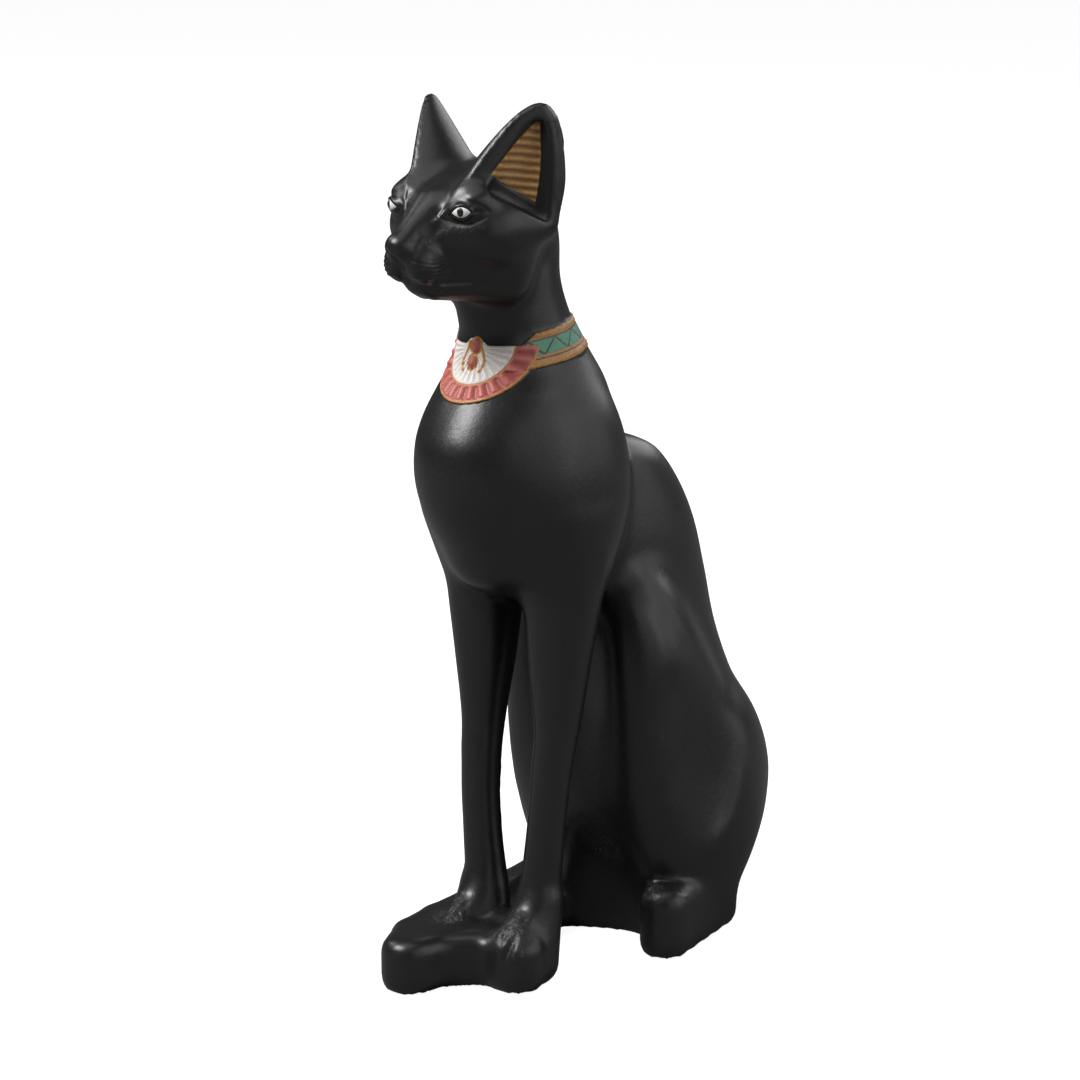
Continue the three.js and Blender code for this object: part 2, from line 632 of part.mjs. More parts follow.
// Merges the cheapest edges until the mesh has as many triangles as it may keep
function thin({ points, triangles }, keep) {
  const vectors = points.map((p) => new THREE.Vector3(...p));
  const faces = triangles.map((t) => [...t]);
  const facesOf = points.map(() => new Set());
  const quadrics = points.map(() => new Float64Array(10));
  const normalOf = (a, b, c) =>
    new THREE.Vector3().subVectors(b, a).cross(new THREE.Vector3().subVectors(c, a));
  faces.forEach((face, index) => {
    const [a, b, c] = face.map((v) => vectors[v]);
    const normal = normalOf(a, b, c);
    const weight = (normal.length() / 2) * careAt(a.toArray());
    normal.normalize();
    const terms = planeTerms(normal.x, normal.y, normal.z, -normal.dot(a), weight);
    for (const v of face) {
      facesOf[v].add(index);
      for (let i = 0; i < 10; i += 1) quadrics[v][i] += terms[i];
    }
  });
  const version = new Int32Array(points.length);
  const alive = new Uint8Array(points.length).fill(1);
  const heap = new EdgeHeap();
  const neighbours = (v) => {
    const found = new Set();
    for (const f of facesOf[v]) for (const other of faces[f]) if (other !== v) found.add(other);
    return found;
  };
  const offer = (a, b) => {
    const q = quadrics[a].map((term, i) => term + quadrics[b][i]);
    const middle = new THREE.Vector3().addVectors(vectors[a], vectors[b]).multiplyScalar(0.5);
    const span = vectors[a].distanceTo(vectors[b]);
    const best = leastErrorPoint(q);
    const near = best && middle.distanceTo(new THREE.Vector3(...best)) < span * 1.5;
    const place = near ? best : middle.toArray();
    const cost = max(planeError(q, place), 0) + 1e-7 * span * span;
    heap.push({ cost, a, b, place, stampA: version[a], stampB: version[b] });
  };
  for (let v = 0; v < points.length; v += 1) for (const n of neighbours(v)) if (n > v) offer(v, n);

  const flips = (v, gone, place) => {
    for (const f of facesOf[v]) {
      const face = faces[f];
      if (face.includes(gone)) continue;
      const before = normalOf(...face.map((u) => vectors[u]));
      const after = normalOf(...face.map((u) => (u === v ? place : vectors[u])));
      if (before.dot(after) < 0.25 * before.length() * after.length()) return true;
      const edges = [0, 1, 2].map((i) => {
        const [from, to] = [face[i], face[(i + 1) % 3]].map((u) => (u === v ? place : vectors[u]));
        return from.distanceTo(to);
      });
      if (after.length() < 0.06 * max(...edges) ** 2) return true;
    }
    return false;
  };

  let left = faces.length;
  while (left > keep && heap.items.length > 0) {
    const { a, b, place, stampA, stampB } = heap.pop();
    if (!alive[a] || !alive[b] || version[a] !== stampA || version[b] !== stampB) continue;
    const aroundB = neighbours(b);
    if (!aroundB.has(a)) continue;
    const shared = [...neighbours(a)].filter((v) => aroundB.has(v));
    if (shared.length !== 2) continue;
    const target = new THREE.Vector3(...place);
    if (flips(a, b, target) || flips(b, a, target)) continue;
    vectors[a].copy(target);
    for (let i = 0; i < 10; i += 1) quadrics[a][i] += quadrics[b][i];
    for (const f of [...facesOf[b]]) {
      const face = faces[f];
      if (face.includes(a)) {
        for (const v of face) facesOf[v].delete(f);
        faces[f] = null;
        left -= 1;
      } else {
        face[face.indexOf(b)] = a;
        facesOf[a].add(f);
      }
    }
    alive[b] = 0;
    version[a] += 1;
    for (const n of neighbours(a)) offer(a, n);
  }
  const kept = faces.filter((face) => face !== null);
  const used = [...new Set(kept.flat())];
  const place = new Map(used.map((v, i) => [v, i]));
  return {
    points: used.map((v) => vectors[v].toArray()),
    triangles: kept.map((face) => face.map((v) => place.get(v))),
  };
}

const wasm = await Module();
wasm.setup();

function solidFrom(vertices, triangles) {
  return new wasm.Manifold(new wasm.Mesh({ numProp: 3, vertProperties: vertices, triVerts: triangles }));
}

// Cuts the body level at the floor with a block that is larger than its footprint
function cutAtFloor(body) {
  const room = 2 * HEIGHT;
  const block = new THREE.BoxGeometry(room, room, room).toNonIndexed();
  block.translate(0, 0, -room / 2);
  const corners = new Map();
  const vertices = [];
  const triangles = [];
  const position = block.getAttribute("position");
  for (let i = 0; i < position.count; i += 1) {
    const corner = [position.getX(i), position.getY(i), position.getZ(i)];
    const key = corner.map(sign).join();
    if (!corners.has(key)) {
      corners.set(key, vertices.length / 3);
      vertices.push(...corner);
    }
    triangles.push(corners.get(key));
  }
  return body.subtract(solidFrom(new Float32Array(vertices), new Uint32Array(triangles)));
}

function buildGeometry() {
  const body = thin(meshField(settle(sampleField(GRID_STEP)), GRID_STEP), TRIANGLE_BUDGET);
  const vertices = new Float32Array(body.points.flat().map((share) => share * UNIT));
  const solid = cutAtFloor(solidFrom(vertices, new Uint32Array(body.triangles.flat())));
  const mesh = solid.simplify(FLATNESS).getMesh();
  const geometry = new THREE.BufferGeometry();
  geometry.setAttribute("position", new THREE.BufferAttribute(mesh.vertProperties, 3));
  geometry.setIndex(new THREE.BufferAttribute(mesh.triVerts, 1));
  geometry.computeBoundingBox();
  const middle = geometry.boundingBox.getCenter(new THREE.Vector3());
  geometry.translate(-middle.x, -middle.y, 0);
  return geometry;
}

const figure = new THREE.Mesh(buildGeometry(), new THREE.MeshStandardMaterial(BLACK_GLAZE));
figure.name = "cat_figure";

const part = new THREE.Group();
part.add(figure);

export default part;
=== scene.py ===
"""Seated Egyptian cat figure: black painted cast with a painted collar, pendant, ears and eyes.

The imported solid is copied, given a finer skin, settled on the smooth form of the cast, carved with
the fine relief and painted. Sizes of the form are in hundredths of its height, measured from the
axis of the forelegs on the floor; the cat faces -Y and its left side is +X.
"""

from __future__ import annotations

import logging
import math
from dataclasses import dataclass, field
from enum import Enum
from typing import Callable, Sequence

import bpy
import numpy as np
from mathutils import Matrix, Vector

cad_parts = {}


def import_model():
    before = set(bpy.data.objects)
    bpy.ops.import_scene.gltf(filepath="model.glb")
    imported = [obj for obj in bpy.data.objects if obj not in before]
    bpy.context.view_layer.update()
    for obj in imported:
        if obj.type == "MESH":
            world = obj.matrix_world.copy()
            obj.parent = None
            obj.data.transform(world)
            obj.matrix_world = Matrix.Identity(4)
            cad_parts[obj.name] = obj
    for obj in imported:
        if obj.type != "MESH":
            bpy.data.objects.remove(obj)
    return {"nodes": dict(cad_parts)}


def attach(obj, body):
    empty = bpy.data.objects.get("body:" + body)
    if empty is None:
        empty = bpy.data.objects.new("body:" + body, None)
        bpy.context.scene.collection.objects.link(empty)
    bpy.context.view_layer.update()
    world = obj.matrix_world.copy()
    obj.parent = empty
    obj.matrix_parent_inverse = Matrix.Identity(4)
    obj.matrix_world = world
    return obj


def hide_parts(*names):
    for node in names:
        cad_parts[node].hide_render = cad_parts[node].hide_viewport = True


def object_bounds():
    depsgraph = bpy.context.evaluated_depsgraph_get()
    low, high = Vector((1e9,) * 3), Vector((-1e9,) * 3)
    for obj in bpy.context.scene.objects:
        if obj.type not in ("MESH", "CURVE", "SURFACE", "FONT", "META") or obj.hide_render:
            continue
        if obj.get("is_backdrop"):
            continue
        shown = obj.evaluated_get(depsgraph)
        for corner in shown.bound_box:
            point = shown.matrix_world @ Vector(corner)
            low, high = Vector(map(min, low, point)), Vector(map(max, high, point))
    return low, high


LOG = logging.getLogger("cat_figure")

# Metres for one hundredth of the height, and where the axis of the forelegs lies behind the origin
UNIT = 0.002
FORM_SHIFT = np.array((-0.1886, 9.4796, -0.001))

Array = np.ndarray
Point = Sequence[float]
Socket = bpy.types.NodeSocket


class Paint(Enum):
    """Coordinates that the paint follows, kept on the skin as attributes."""

    COLLAR_ACROSS = "collar_across"
    COLLAR_ROUND = "collar_round"
    FAN_REACH = "fan_reach"
    FAN_TURN = "fan_turn"
    FAN_ABOVE = "fan_above"
    EAR_PANEL = "ear_panel"
    EAR_RIB = "ear_rib"
    EYE_LENS = "eye_lens"
    EYE_IRIS = "eye_iris"
    BEAD = "bead"
    CURL = "curl"
    ROUGH = "rough"


@dataclass(frozen=True)
class Places:
    """Places in the sizes of the form."""

    x: Array
    y: Array
    z: Array

    @property
    def mirrored(self) -> Places:
        """The same places on the left side, for what both sides share."""
        return Places(np.abs(self.x), self.y, self.z)

    def where(self, chosen: Array) -> Places:
        """Picks some of the places."""
        return Places(self.x[chosen], self.y[chosen], self.z[chosen])


Distance = Callable[[Places], Array]


def join(a: Array, b: Array, fillet: float) -> Array:
    """Unites two distances with a fillet.

    Args:
        a: Distance to one mass.
        b: Distance to the other.
        fillet: Width of the fillet.

    Returns:
        Distance to both.
    """
    h = np.maximum(fillet - np.abs(a - b), 0.0) / fillet
    return np.minimum(a, b) - h * h * fillet / 4.0


def overlap(a: Array, b: Array, fillet: float) -> Array:
    """Keeps what lies in both masses, with a rounded edge."""
    return -join(-a, -b, fillet)


def carve(body: Array, tool: Array, fillet: float) -> Array:
    """Takes a tool's shape out of a body, with a rounded edge."""
    return overlap(body, -tool, fillet)


def ellipsoid(at: Point, radii: Point, yaw: float = 0.0, tip: float = 0.0) -> Distance:
    """Makes an ellipsoid that is first turned about Z, then tipped about X.

    Args:
        at: Its middle.
        radii: Its three radii.
        yaw: Turn in degrees.
        tip: Tip in degrees.

    Returns:
        A function that measures the distance to it.
    """
    cy, sy = math.cos(math.radians(yaw)), math.sin(math.radians(yaw))
    cp, sp = math.cos(math.radians(tip)), math.sin(math.radians(tip))

    def measure(p: Places) -> Array:
        """Measures the distance to the ellipsoid."""
        dx, dy, dz = p.x - at[0], p.y - at[1], p.z - at[2]
        across = -dx * sy + dy * cy
        turned = (dx * cy + dy * sy, across * cp + dz * sp, -across * sp + dz * cp)
        near = np.sqrt(sum((value / radius) ** 2 for value, radius in zip(turned, radii)))
        steep = np.sqrt(sum((value / radius**2) ** 2 for value, radius in zip(turned, radii)))
        return near * (near - 1.0) / np.maximum(steep, 1e-6)

    return measure


def limb(start: Point, end: Point, start_radius: float, end_radius: float) -> Distance:
    """Makes a limb that tapers from one ball to another.

    Args:
        start: Middle of the first ball.
        end: Middle of the last ball.
        start_radius: Radius of the first ball.
        end_radius: Radius of the last ball.

    Returns:
        A function that measures the distance to it.
    """
    a, along = np.array(start, float), np.array(end, float) - np.array(start, float)
    length_squared = float(along @ along)

    def measure(p: Places) -> Array:
        """Measures the distance to the limb."""
        dx, dy, dz = p.x - a[0], p.y - a[1], p.z - a[2]
        t = np.clip((dx * along[0] + dy * along[1] + dz * along[2]) / length_squared, 0.0, 1.0)
        gap = np.sqrt((dx - t * along[0]) ** 2 + (dy - t * along[1]) ** 2 + (dz - t * along[2]) ** 2)
        return gap - start_radius - (end_radius - start_radius) * t

    return measure


def path_gap(path: Sequence[Point], p: Places) -> Array:
    """Measures how far places lie from a path of straight stretches."""
    return np.minimum.reduce([limb(a, b, 0.0, 0.0)(p) for a, b in zip(path, path[1:])])


def line_mark(gap: Array, width: float) -> Array:
    """Gives a soft line its height: one on the line, falling to nothing beside it."""
    return np.exp(-((gap / width) ** 2))


def ramp(value: Array, low: float, high: float) -> Array:
    """Rises smoothly from 0 at the low value to 1 at the high one."""
    t = np.clip((value - low) / (high - low), 0.0, 1.0)
    return t * t * (3.0 - 2.0 * t)


def oval(u: Array, v: Array, half_u: Array, half_v: Array) -> Array:
    """Measures the distance to an oval.

    Args:
        u: First coordinate.
        v: Second coordinate.
        half_u: Half of its width.
        half_v: Half of its depth.

    Returns:
        Distance to the oval.
    """
    near = np.sqrt((u / half_u) ** 2 + (v / half_v) ** 2)
    steep = np.sqrt((u / half_u**2) ** 2 + (v / half_v**2) ** 2)
    return near * (near - 1.0) / np.maximum(steep, 1e-6)


@dataclass(frozen=True)
class Line:
    """A soft carved line: its path, half of its width, and its height above the skin."""

    path: Sequence[Point]
    width: float
    height: float

    def rise(self, p: Places) -> Array:
        """Gives the height that the line adds."""
        return self.height * line_mark(path_gap(self.path, p), self.width)


def rise_of(lines: Sequence[Line], p: Places) -> Array:
    """Adds up the heights of several carved lines."""
    return sum(line.rise(p) for line in lines)


class Sections:
    """Level sections, each size read along a smooth curve through them."""

    def __init__(self, names: str, rows: Sequence[Point]) -> None:
        """Keeps the sections.

        Args:
            names: Names of the sizes, the first of which is the height z.
            rows: One row of sizes for each section.
        """
        self.names = names.split()
        self.rows = np.array(rows, float)

    def read(self, name: str, z: Array) -> Array:
        """Reads one size at some heights.

        Args:
            name: Name of the size.
            z: Heights.

        Returns:
            The size at each height.
        """
        heights, sizes = self.rows[:, 0], self.rows[:, self.names.index(name)]
        rises = np.diff(sizes) / np.diff(heights)
        middle = (sizes[2:] - sizes[:-2]) / (heights[2:] - heights[:-2])
        slopes = np.concatenate((rises[:1], middle, rises[-1:]))
        i = np.clip(np.searchsorted(heights, z, side="left") - 1, 0, len(heights) - 2)
        span = heights[i + 1] - heights[i]
        t = np.clip((z - heights[i]) / span, 0.0, 1.0)
        rest = 1.0 - t
        ends = sizes[i] * (1 + 2 * t) * rest * rest + sizes[i + 1] * t * t * (3 - 2 * t)
        return ends + span * t * rest * (slopes[i] * rest - slopes[i + 1] * t)

    def close(self, d: Array, z: Array, softness: float) -> Array:
        """Closes a column above its last section and below its first.

        Args:
            d: Distance to the endless column.
            z: Heights.
            softness: Width of the rounding at both ends.

        Returns:
            Distance to the closed column.
        """
        low, high = self.rows[0, 0], self.rows[-1, 0]
        return overlap(overlap(d, z - high, softness), low - z, softness)


def column(sections: Sections, softness: float) -> Distance:
    """Makes a column of oval sections with softened ends.

    Args:
        sections: Its sections.
        softness: Width of the rounding at its ends.

    Returns:
        A function that measures the distance to it.
    """

    def measure(p: Places) -> Array:
        """Measures the distance to the column."""
        middle = sections.read("x", p.z) if "x" in sections.names else 0.0
        u, v = p.x - middle, p.y - sections.read("y", p.z)
        d = oval(u, v, sections.read("wide", p.z), sections.read("deep", p.z))
        return sections.close(d, p.z, softness)

    return measure


@dataclass
class Front:
    """Neck, chest, shoulders and forelegs."""

    chest: Sections = field(default_factory=lambda: Sections("z y wide deep", (
        (44, 0.5, 3, 4), (46.5, 0, 5.9, 7), (50, 0.1, 7.6, 9.1), (54, 0.1, 9.1, 11.3),
        (58, 0.1, 9.7, 12.6), (62, 0.4, 9.7, 12.8), (65, 0.9, 9.3, 12), (68, 1.4, 8.2, 10.6),
        (71, 1.5, 6.8, 8.7), (74, 0.8, 5.7, 7.4), (77, -0.3, 5.3, 7), (80, -1, 5.1, 6.8),
        (84, -1, 5, 6.7), (88, -1.6, 5, 6.4),
    )))
    leg: Sections = field(default_factory=lambda: Sections("z x y wide deep", (
        (6, 3.7, -1.6, 2.9, 3.6), (8, 3.8, -0.8, 2.6, 3), (11, 4.2, -0.5, 2.35, 2.5),
        (15, 4.65, -0.4, 2.2, 2.3), (20, 5.1, -0.2, 2.15, 2.3), (25, 5.35, 0.3, 2.25, 2.5),
        (29, 5.5, 0.9, 2.45, 2.8), (36, 5.5, 1.3, 3.3, 3.8), (42, 5.7, 1.6, 3.9, 4.6),
        (48, 6, 1.9, 4.2, 5.4), (54, 6, 2.2, 4, 6.5),
    )))
    end: float = 2.0
    shoulder_fillet: float = 3.0
    leg_fillet: float = 2.5
    muscle: Line = Line(((10.9, 3.1, 50), (10.4, 3.6, 44), (9.2, 3.4, 37), (8.1, 2.9, 29)), 0.8, 0.1)

    def __post_init__(self) -> None:
        """Makes the masses from the sections."""
        self.skin = column(self.chest, self.end)
        self.foreleg = column(self.leg, self.end)
        self.shoulder = ellipsoid((6, 2.6, 55.5), (4.8, 8.9, 11), tip=-6)

    def distance(self, left: Places) -> Array:
        """Measures the distance to the front half of the body, at mirrored places."""
        chest = join(self.skin(left), self.shoulder(left), self.shoulder_fillet)
        return join(chest, self.foreleg(left), self.leg_fillet)

    def relief(self, left: Places) -> Array:
        """Gives the height of the flat muscle along the back of the upper leg."""
        return self.muscle.rise(left)


@dataclass
class Rear:
    """Trunk, thighs and haunches."""

    sections: Sections = field(default_factory=lambda: Sections("z y wide ahead behind", (
        (-3, 22, 9.6, 9.2, 11), (5, 22, 11, 9.4, 12.4), (9, 22, 11.8, 9.8, 13.2),
        (14, 21.4, 12.6, 10.6, 15.8), (19, 20.4, 12.9, 10.6, 18.2), (25, 19.2, 12.3, 9.4, 17.9),
        (30, 18, 10.6, 7.4, 16.5), (36, 16.8, 8.7, 6.6, 15.9), (43, 15.5, 7.9, 7.6, 15.6),
        (49, 15, 7.5, 8.6, 14.1), (54, 14.5, 6.8, 7.6, 11.7), (58, 13.7, 6, 6.4, 8.7),
        (60.4, 13.4, 4.7, 4, 4.8),
    )))
    square_front: float = 2.8
    round_back: float = 2.15
    end: float = 3.0
    haunch_fillet: float = 1.5
    leg_fillet: float = 4.0
    hollow_fillet: float = 4.0
    scoop_fillet: float = 3.0
    fold: Line = Line(
        ((7.3, 10.7, 43.6), (9.3, 11.9, 41.9), (10.8, 14.2, 39.9), (11.8, 17.1, 36.5)), 1.6, -0.24,
    )
    crease: Line = Line(((12.0, 21.0, 35.5), (12.3, 17.9, 33.5), (12.5, 16.1, 31)), 1.6, -0.12)
    knee: Line = Line(((7.8, 9.7, 38.5), (9.2, 9.8, 33.5), (9.6, 10.3, 28.7), (9.6, 11, 22)), 1.8, 0.06)
    dip_depth: float = 0.16
    belly_marks: Sequence[Sequence[Point]] = (
        ((0.2, 11.6, 12.4), (1.6, 12.3, 13.3)), ((1.9, 12.6, 12.6), (3.0, 13.2, 11.2)),
        ((3.2, 13.4, 12.0), (4.6, 14.1, 10.6)), ((4.1, 14.0, 9.4), (5.2, 14.6, 9.9)),
        ((2.2, 12.8, 10.1), (3.4, 13.6, 10.4)),
    )

    def __post_init__(self) -> None:
        """Makes the masses of the hind legs and the hollows beside them."""
        self.thigh = ellipsoid((7.4, 18.2, 24.5), (5.6, 7.6, 20), tip=16)
        self.haunch = ellipsoid((6.4, 24.6, 16), (6.2, 10.8, 12.5))
        self.hollow = ellipsoid((13.8, 18, 24), (1.5, 4.5, 8), tip=8)
        self.scoop = ellipsoid((3.3, 6.7, -1), (8, 10, 15.5))
        self.dip = ellipsoid((11.5, 13.5, 26), (2.5, 3.2, 7.5))

    def trunk(self, left: Places) -> Array:
        """Measures the distance to the trunk, squarer in front than behind.

        Args:
            left: Mirrored places.

        Returns:
            Distance to the trunk.
        """
        sections = self.sections
        wide, back = sections.read("wide", left.z), left.y - sections.read("y", left.z)
        ahead = back < 0
        deep = np.where(ahead, sections.read("ahead", left.z), sections.read("behind", left.z))
        power = np.where(ahead, self.square_front, self.round_back)
        u, v = left.x / wide, np.abs(back) / deep
        near = np.maximum(u**power + v**power, 1e-9) ** (1 / power)
        steep = np.hypot(u / wide, v / deep) / np.maximum(np.hypot(u, v), 1e-3)
        return sections.close((near - 1) / np.maximum(steep, 1e-3), left.z, self.end)

    def distance(self, p: Places) -> Array:
        """Measures the distance to the rear half of the body.

        Args:
            p: Places.

        Returns:
            Distance to trunk and legs, with the scooped left side taken out.
        """
        left = p.mirrored
        leg = join(self.thigh(left), self.haunch(left), self.haunch_fillet)
        d = join(self.trunk(left), leg, self.leg_fillet)
        d = carve(d, self.hollow(left), self.hollow_fillet)
        return carve(d, self.scoop(p), self.scoop_fillet)

    def relief(self, p: Places) -> Array:
        """Gives the height of the folds of the flank and of the mould marks under the belly.

        Args:
            p: Places.

        Returns:
            Height above the smooth form.
        """
        left = p.mirrored
        height = rise_of((self.fold, self.crease, self.knee), left)
        height = height - self.dip_depth * ramp(-self.dip(left), -1.6, 1.6)
        nicks = np.minimum.reduce([path_gap(mark, p) for mark in self.belly_marks])
        return height + 0.16 * line_mark(nicks, 0.22) - 0.12 * line_mark(nicks - 0.45, 0.25)


@dataclass
class Ears:
    """Ears: pointed arches that lean back and look outwards, with a ribbed panel inside."""

    tip: tuple[float, float, float] = (8.1, -4.6, 99.9)
    facing: float = 62.0
    spread: float = 2.04
    slope: float = 0.35
    lean: float = 0.03
    back_thick: float = 0.65
    back_flare: float = 0.69
    front_thick: float = 0.3
    front_flare: float = 0.05
    length: float = 12.0
    back_length: float = 2.5
    tuck: float = 0.7
    root_fillet: float = 1.3
    rim: float = 1.8
    hollow_spread: float = 1.5
    hollow_shift: float = 0.25
    hollow_face: float = 1.35
    hollow_depth: float = 2.0
    hollow_tilt: float = 0.35
    hollow_foot: float = 9.9
    foot_slope: float = 0.42
    rib_pitch: float = 0.86
    rib_height: float = 0.13
    # The gold panel: where it starts below the tip, then start, spread and bend of its two edges
    panel_top: float = 2.0
    panel_back: tuple[float, float, float] = (0.75, 0.46, 0.018)
    panel_front: tuple[float, float, float] = (0.7, 0.72, 0.048)
    panel_length: float = 7.6
    panel_faces: tuple[float, float] = (-1.35, 1.2)
    panel_reach: tuple[float, float] = (4.0, 86.0)
    off_panel: float = 3.0

    def place(self, left: Places) -> tuple[Array, Array, Array]:
        """Finds places in the ear.

        Args:
            left: Mirrored places.

        Returns:
            Towards its back edge, out of its face, and down from the tip.
        """
        turn = math.radians(self.facing)
        down = np.maximum(self.tip[2] - left.z, 0.01)
        dx, dy = left.x - self.tip[0], left.y - self.tip[1]
        u = dx * math.cos(turn) + dy * math.sin(turn) + self.slope * down
        w = dx * math.sin(turn) - dy * math.cos(turn) + self.lean * down
        return u, w, down

    def distance(self, d: Array, left: Places) -> Array:
        """Joins the ear to the head and hollows it.

        Args:
            d: Distance to the head.
            left: Mirrored places.

        Returns:
            Distance to the head with its ears.
        """
        u, w, down = self.place(left)
        behind = self.back_thick + self.back_flare * down
        ahead = self.front_thick + self.front_flare * down
        tuck = self.tuck * ramp(down, 8.0, 14.0) * ramp(u, 0.0, 3.0)
        foot = down - self.length - self.back_length * ramp(u, 1.0, 4.0)
        arch = oval(u + tuck, w, self.spread * np.sqrt(down), np.where(w < 0, behind, ahead))
        d = join(d, overlap(overlap(arch, left.z - self.tip[2], 0.5), foot, 1.5), self.root_fillet)
        inner = np.maximum(down - self.rim, 0.01)
        half = self.hollow_spread * np.sqrt(inner)
        depth = np.maximum(self.hollow_depth + self.hollow_tilt * (u / half), 0.5)
        scoop = oval(u - self.hollow_shift - self.lean * inner, w - self.hollow_face, half, depth)
        floor = down - self.hollow_foot - self.foot_slope * (u + 2)
        return carve(d, overlap(overlap(scoop, self.rim - down, 0.3), floor, 1.0), 0.3)

    def panel(self, left: Places) -> tuple[Array, Array]:
        """Finds the gold panel inside the ear.

        Args:
            left: Mirrored places.

        Returns:
            Distance to its outline, below zero inside, and the count of ribs from the tip.
        """
        u, w, down = self.place(left)
        below = down - self.panel_top
        start, spread, bend = self.panel_back
        back = (u - start - spread * below + bend * below**2) * 0.93
        start, spread, bend = self.panel_front
        front = (start - u - spread * below - bend * below * (7.4 - down)) * 0.8
        foot = (down - self.panel_length - 0.5 * (u + 2.78)) * 0.9
        outline = np.maximum(np.maximum(back, front), foot)
        low, high = self.panel_faces
        strayed = (w > high) | (w < low) | (left.x < self.panel_reach[0]) | (left.z < self.panel_reach[1])
        return np.where(strayed, self.off_panel, outline), (down - 0.12 * u) / self.rib_pitch

    def relief(self, left: Places) -> Array:
        """Gives the height of the ribs and of the lines along the rim.

        Args:
            left: Mirrored places.

        Returns:
            Height above the smooth form.
        """
        outline, rib = self.panel(left)
        u, w, down = self.place(left)
        inside = ramp(-outline, -0.05, 0.25)
        height = inside * self.rib_height * np.cos(2 * math.pi * rib) - 0.12 * line_mark(outline, 0.12)
        edge = self.spread * np.sqrt(down) - u
        on_ear = ramp(down, 1.2, 2.5) * ramp(11.0 - down, 0.0, 1.5) * (w > 0.1) * (left.x > 5)
        return height - 0.12 * on_ear * line_mark(edge - 0.75, 0.14)


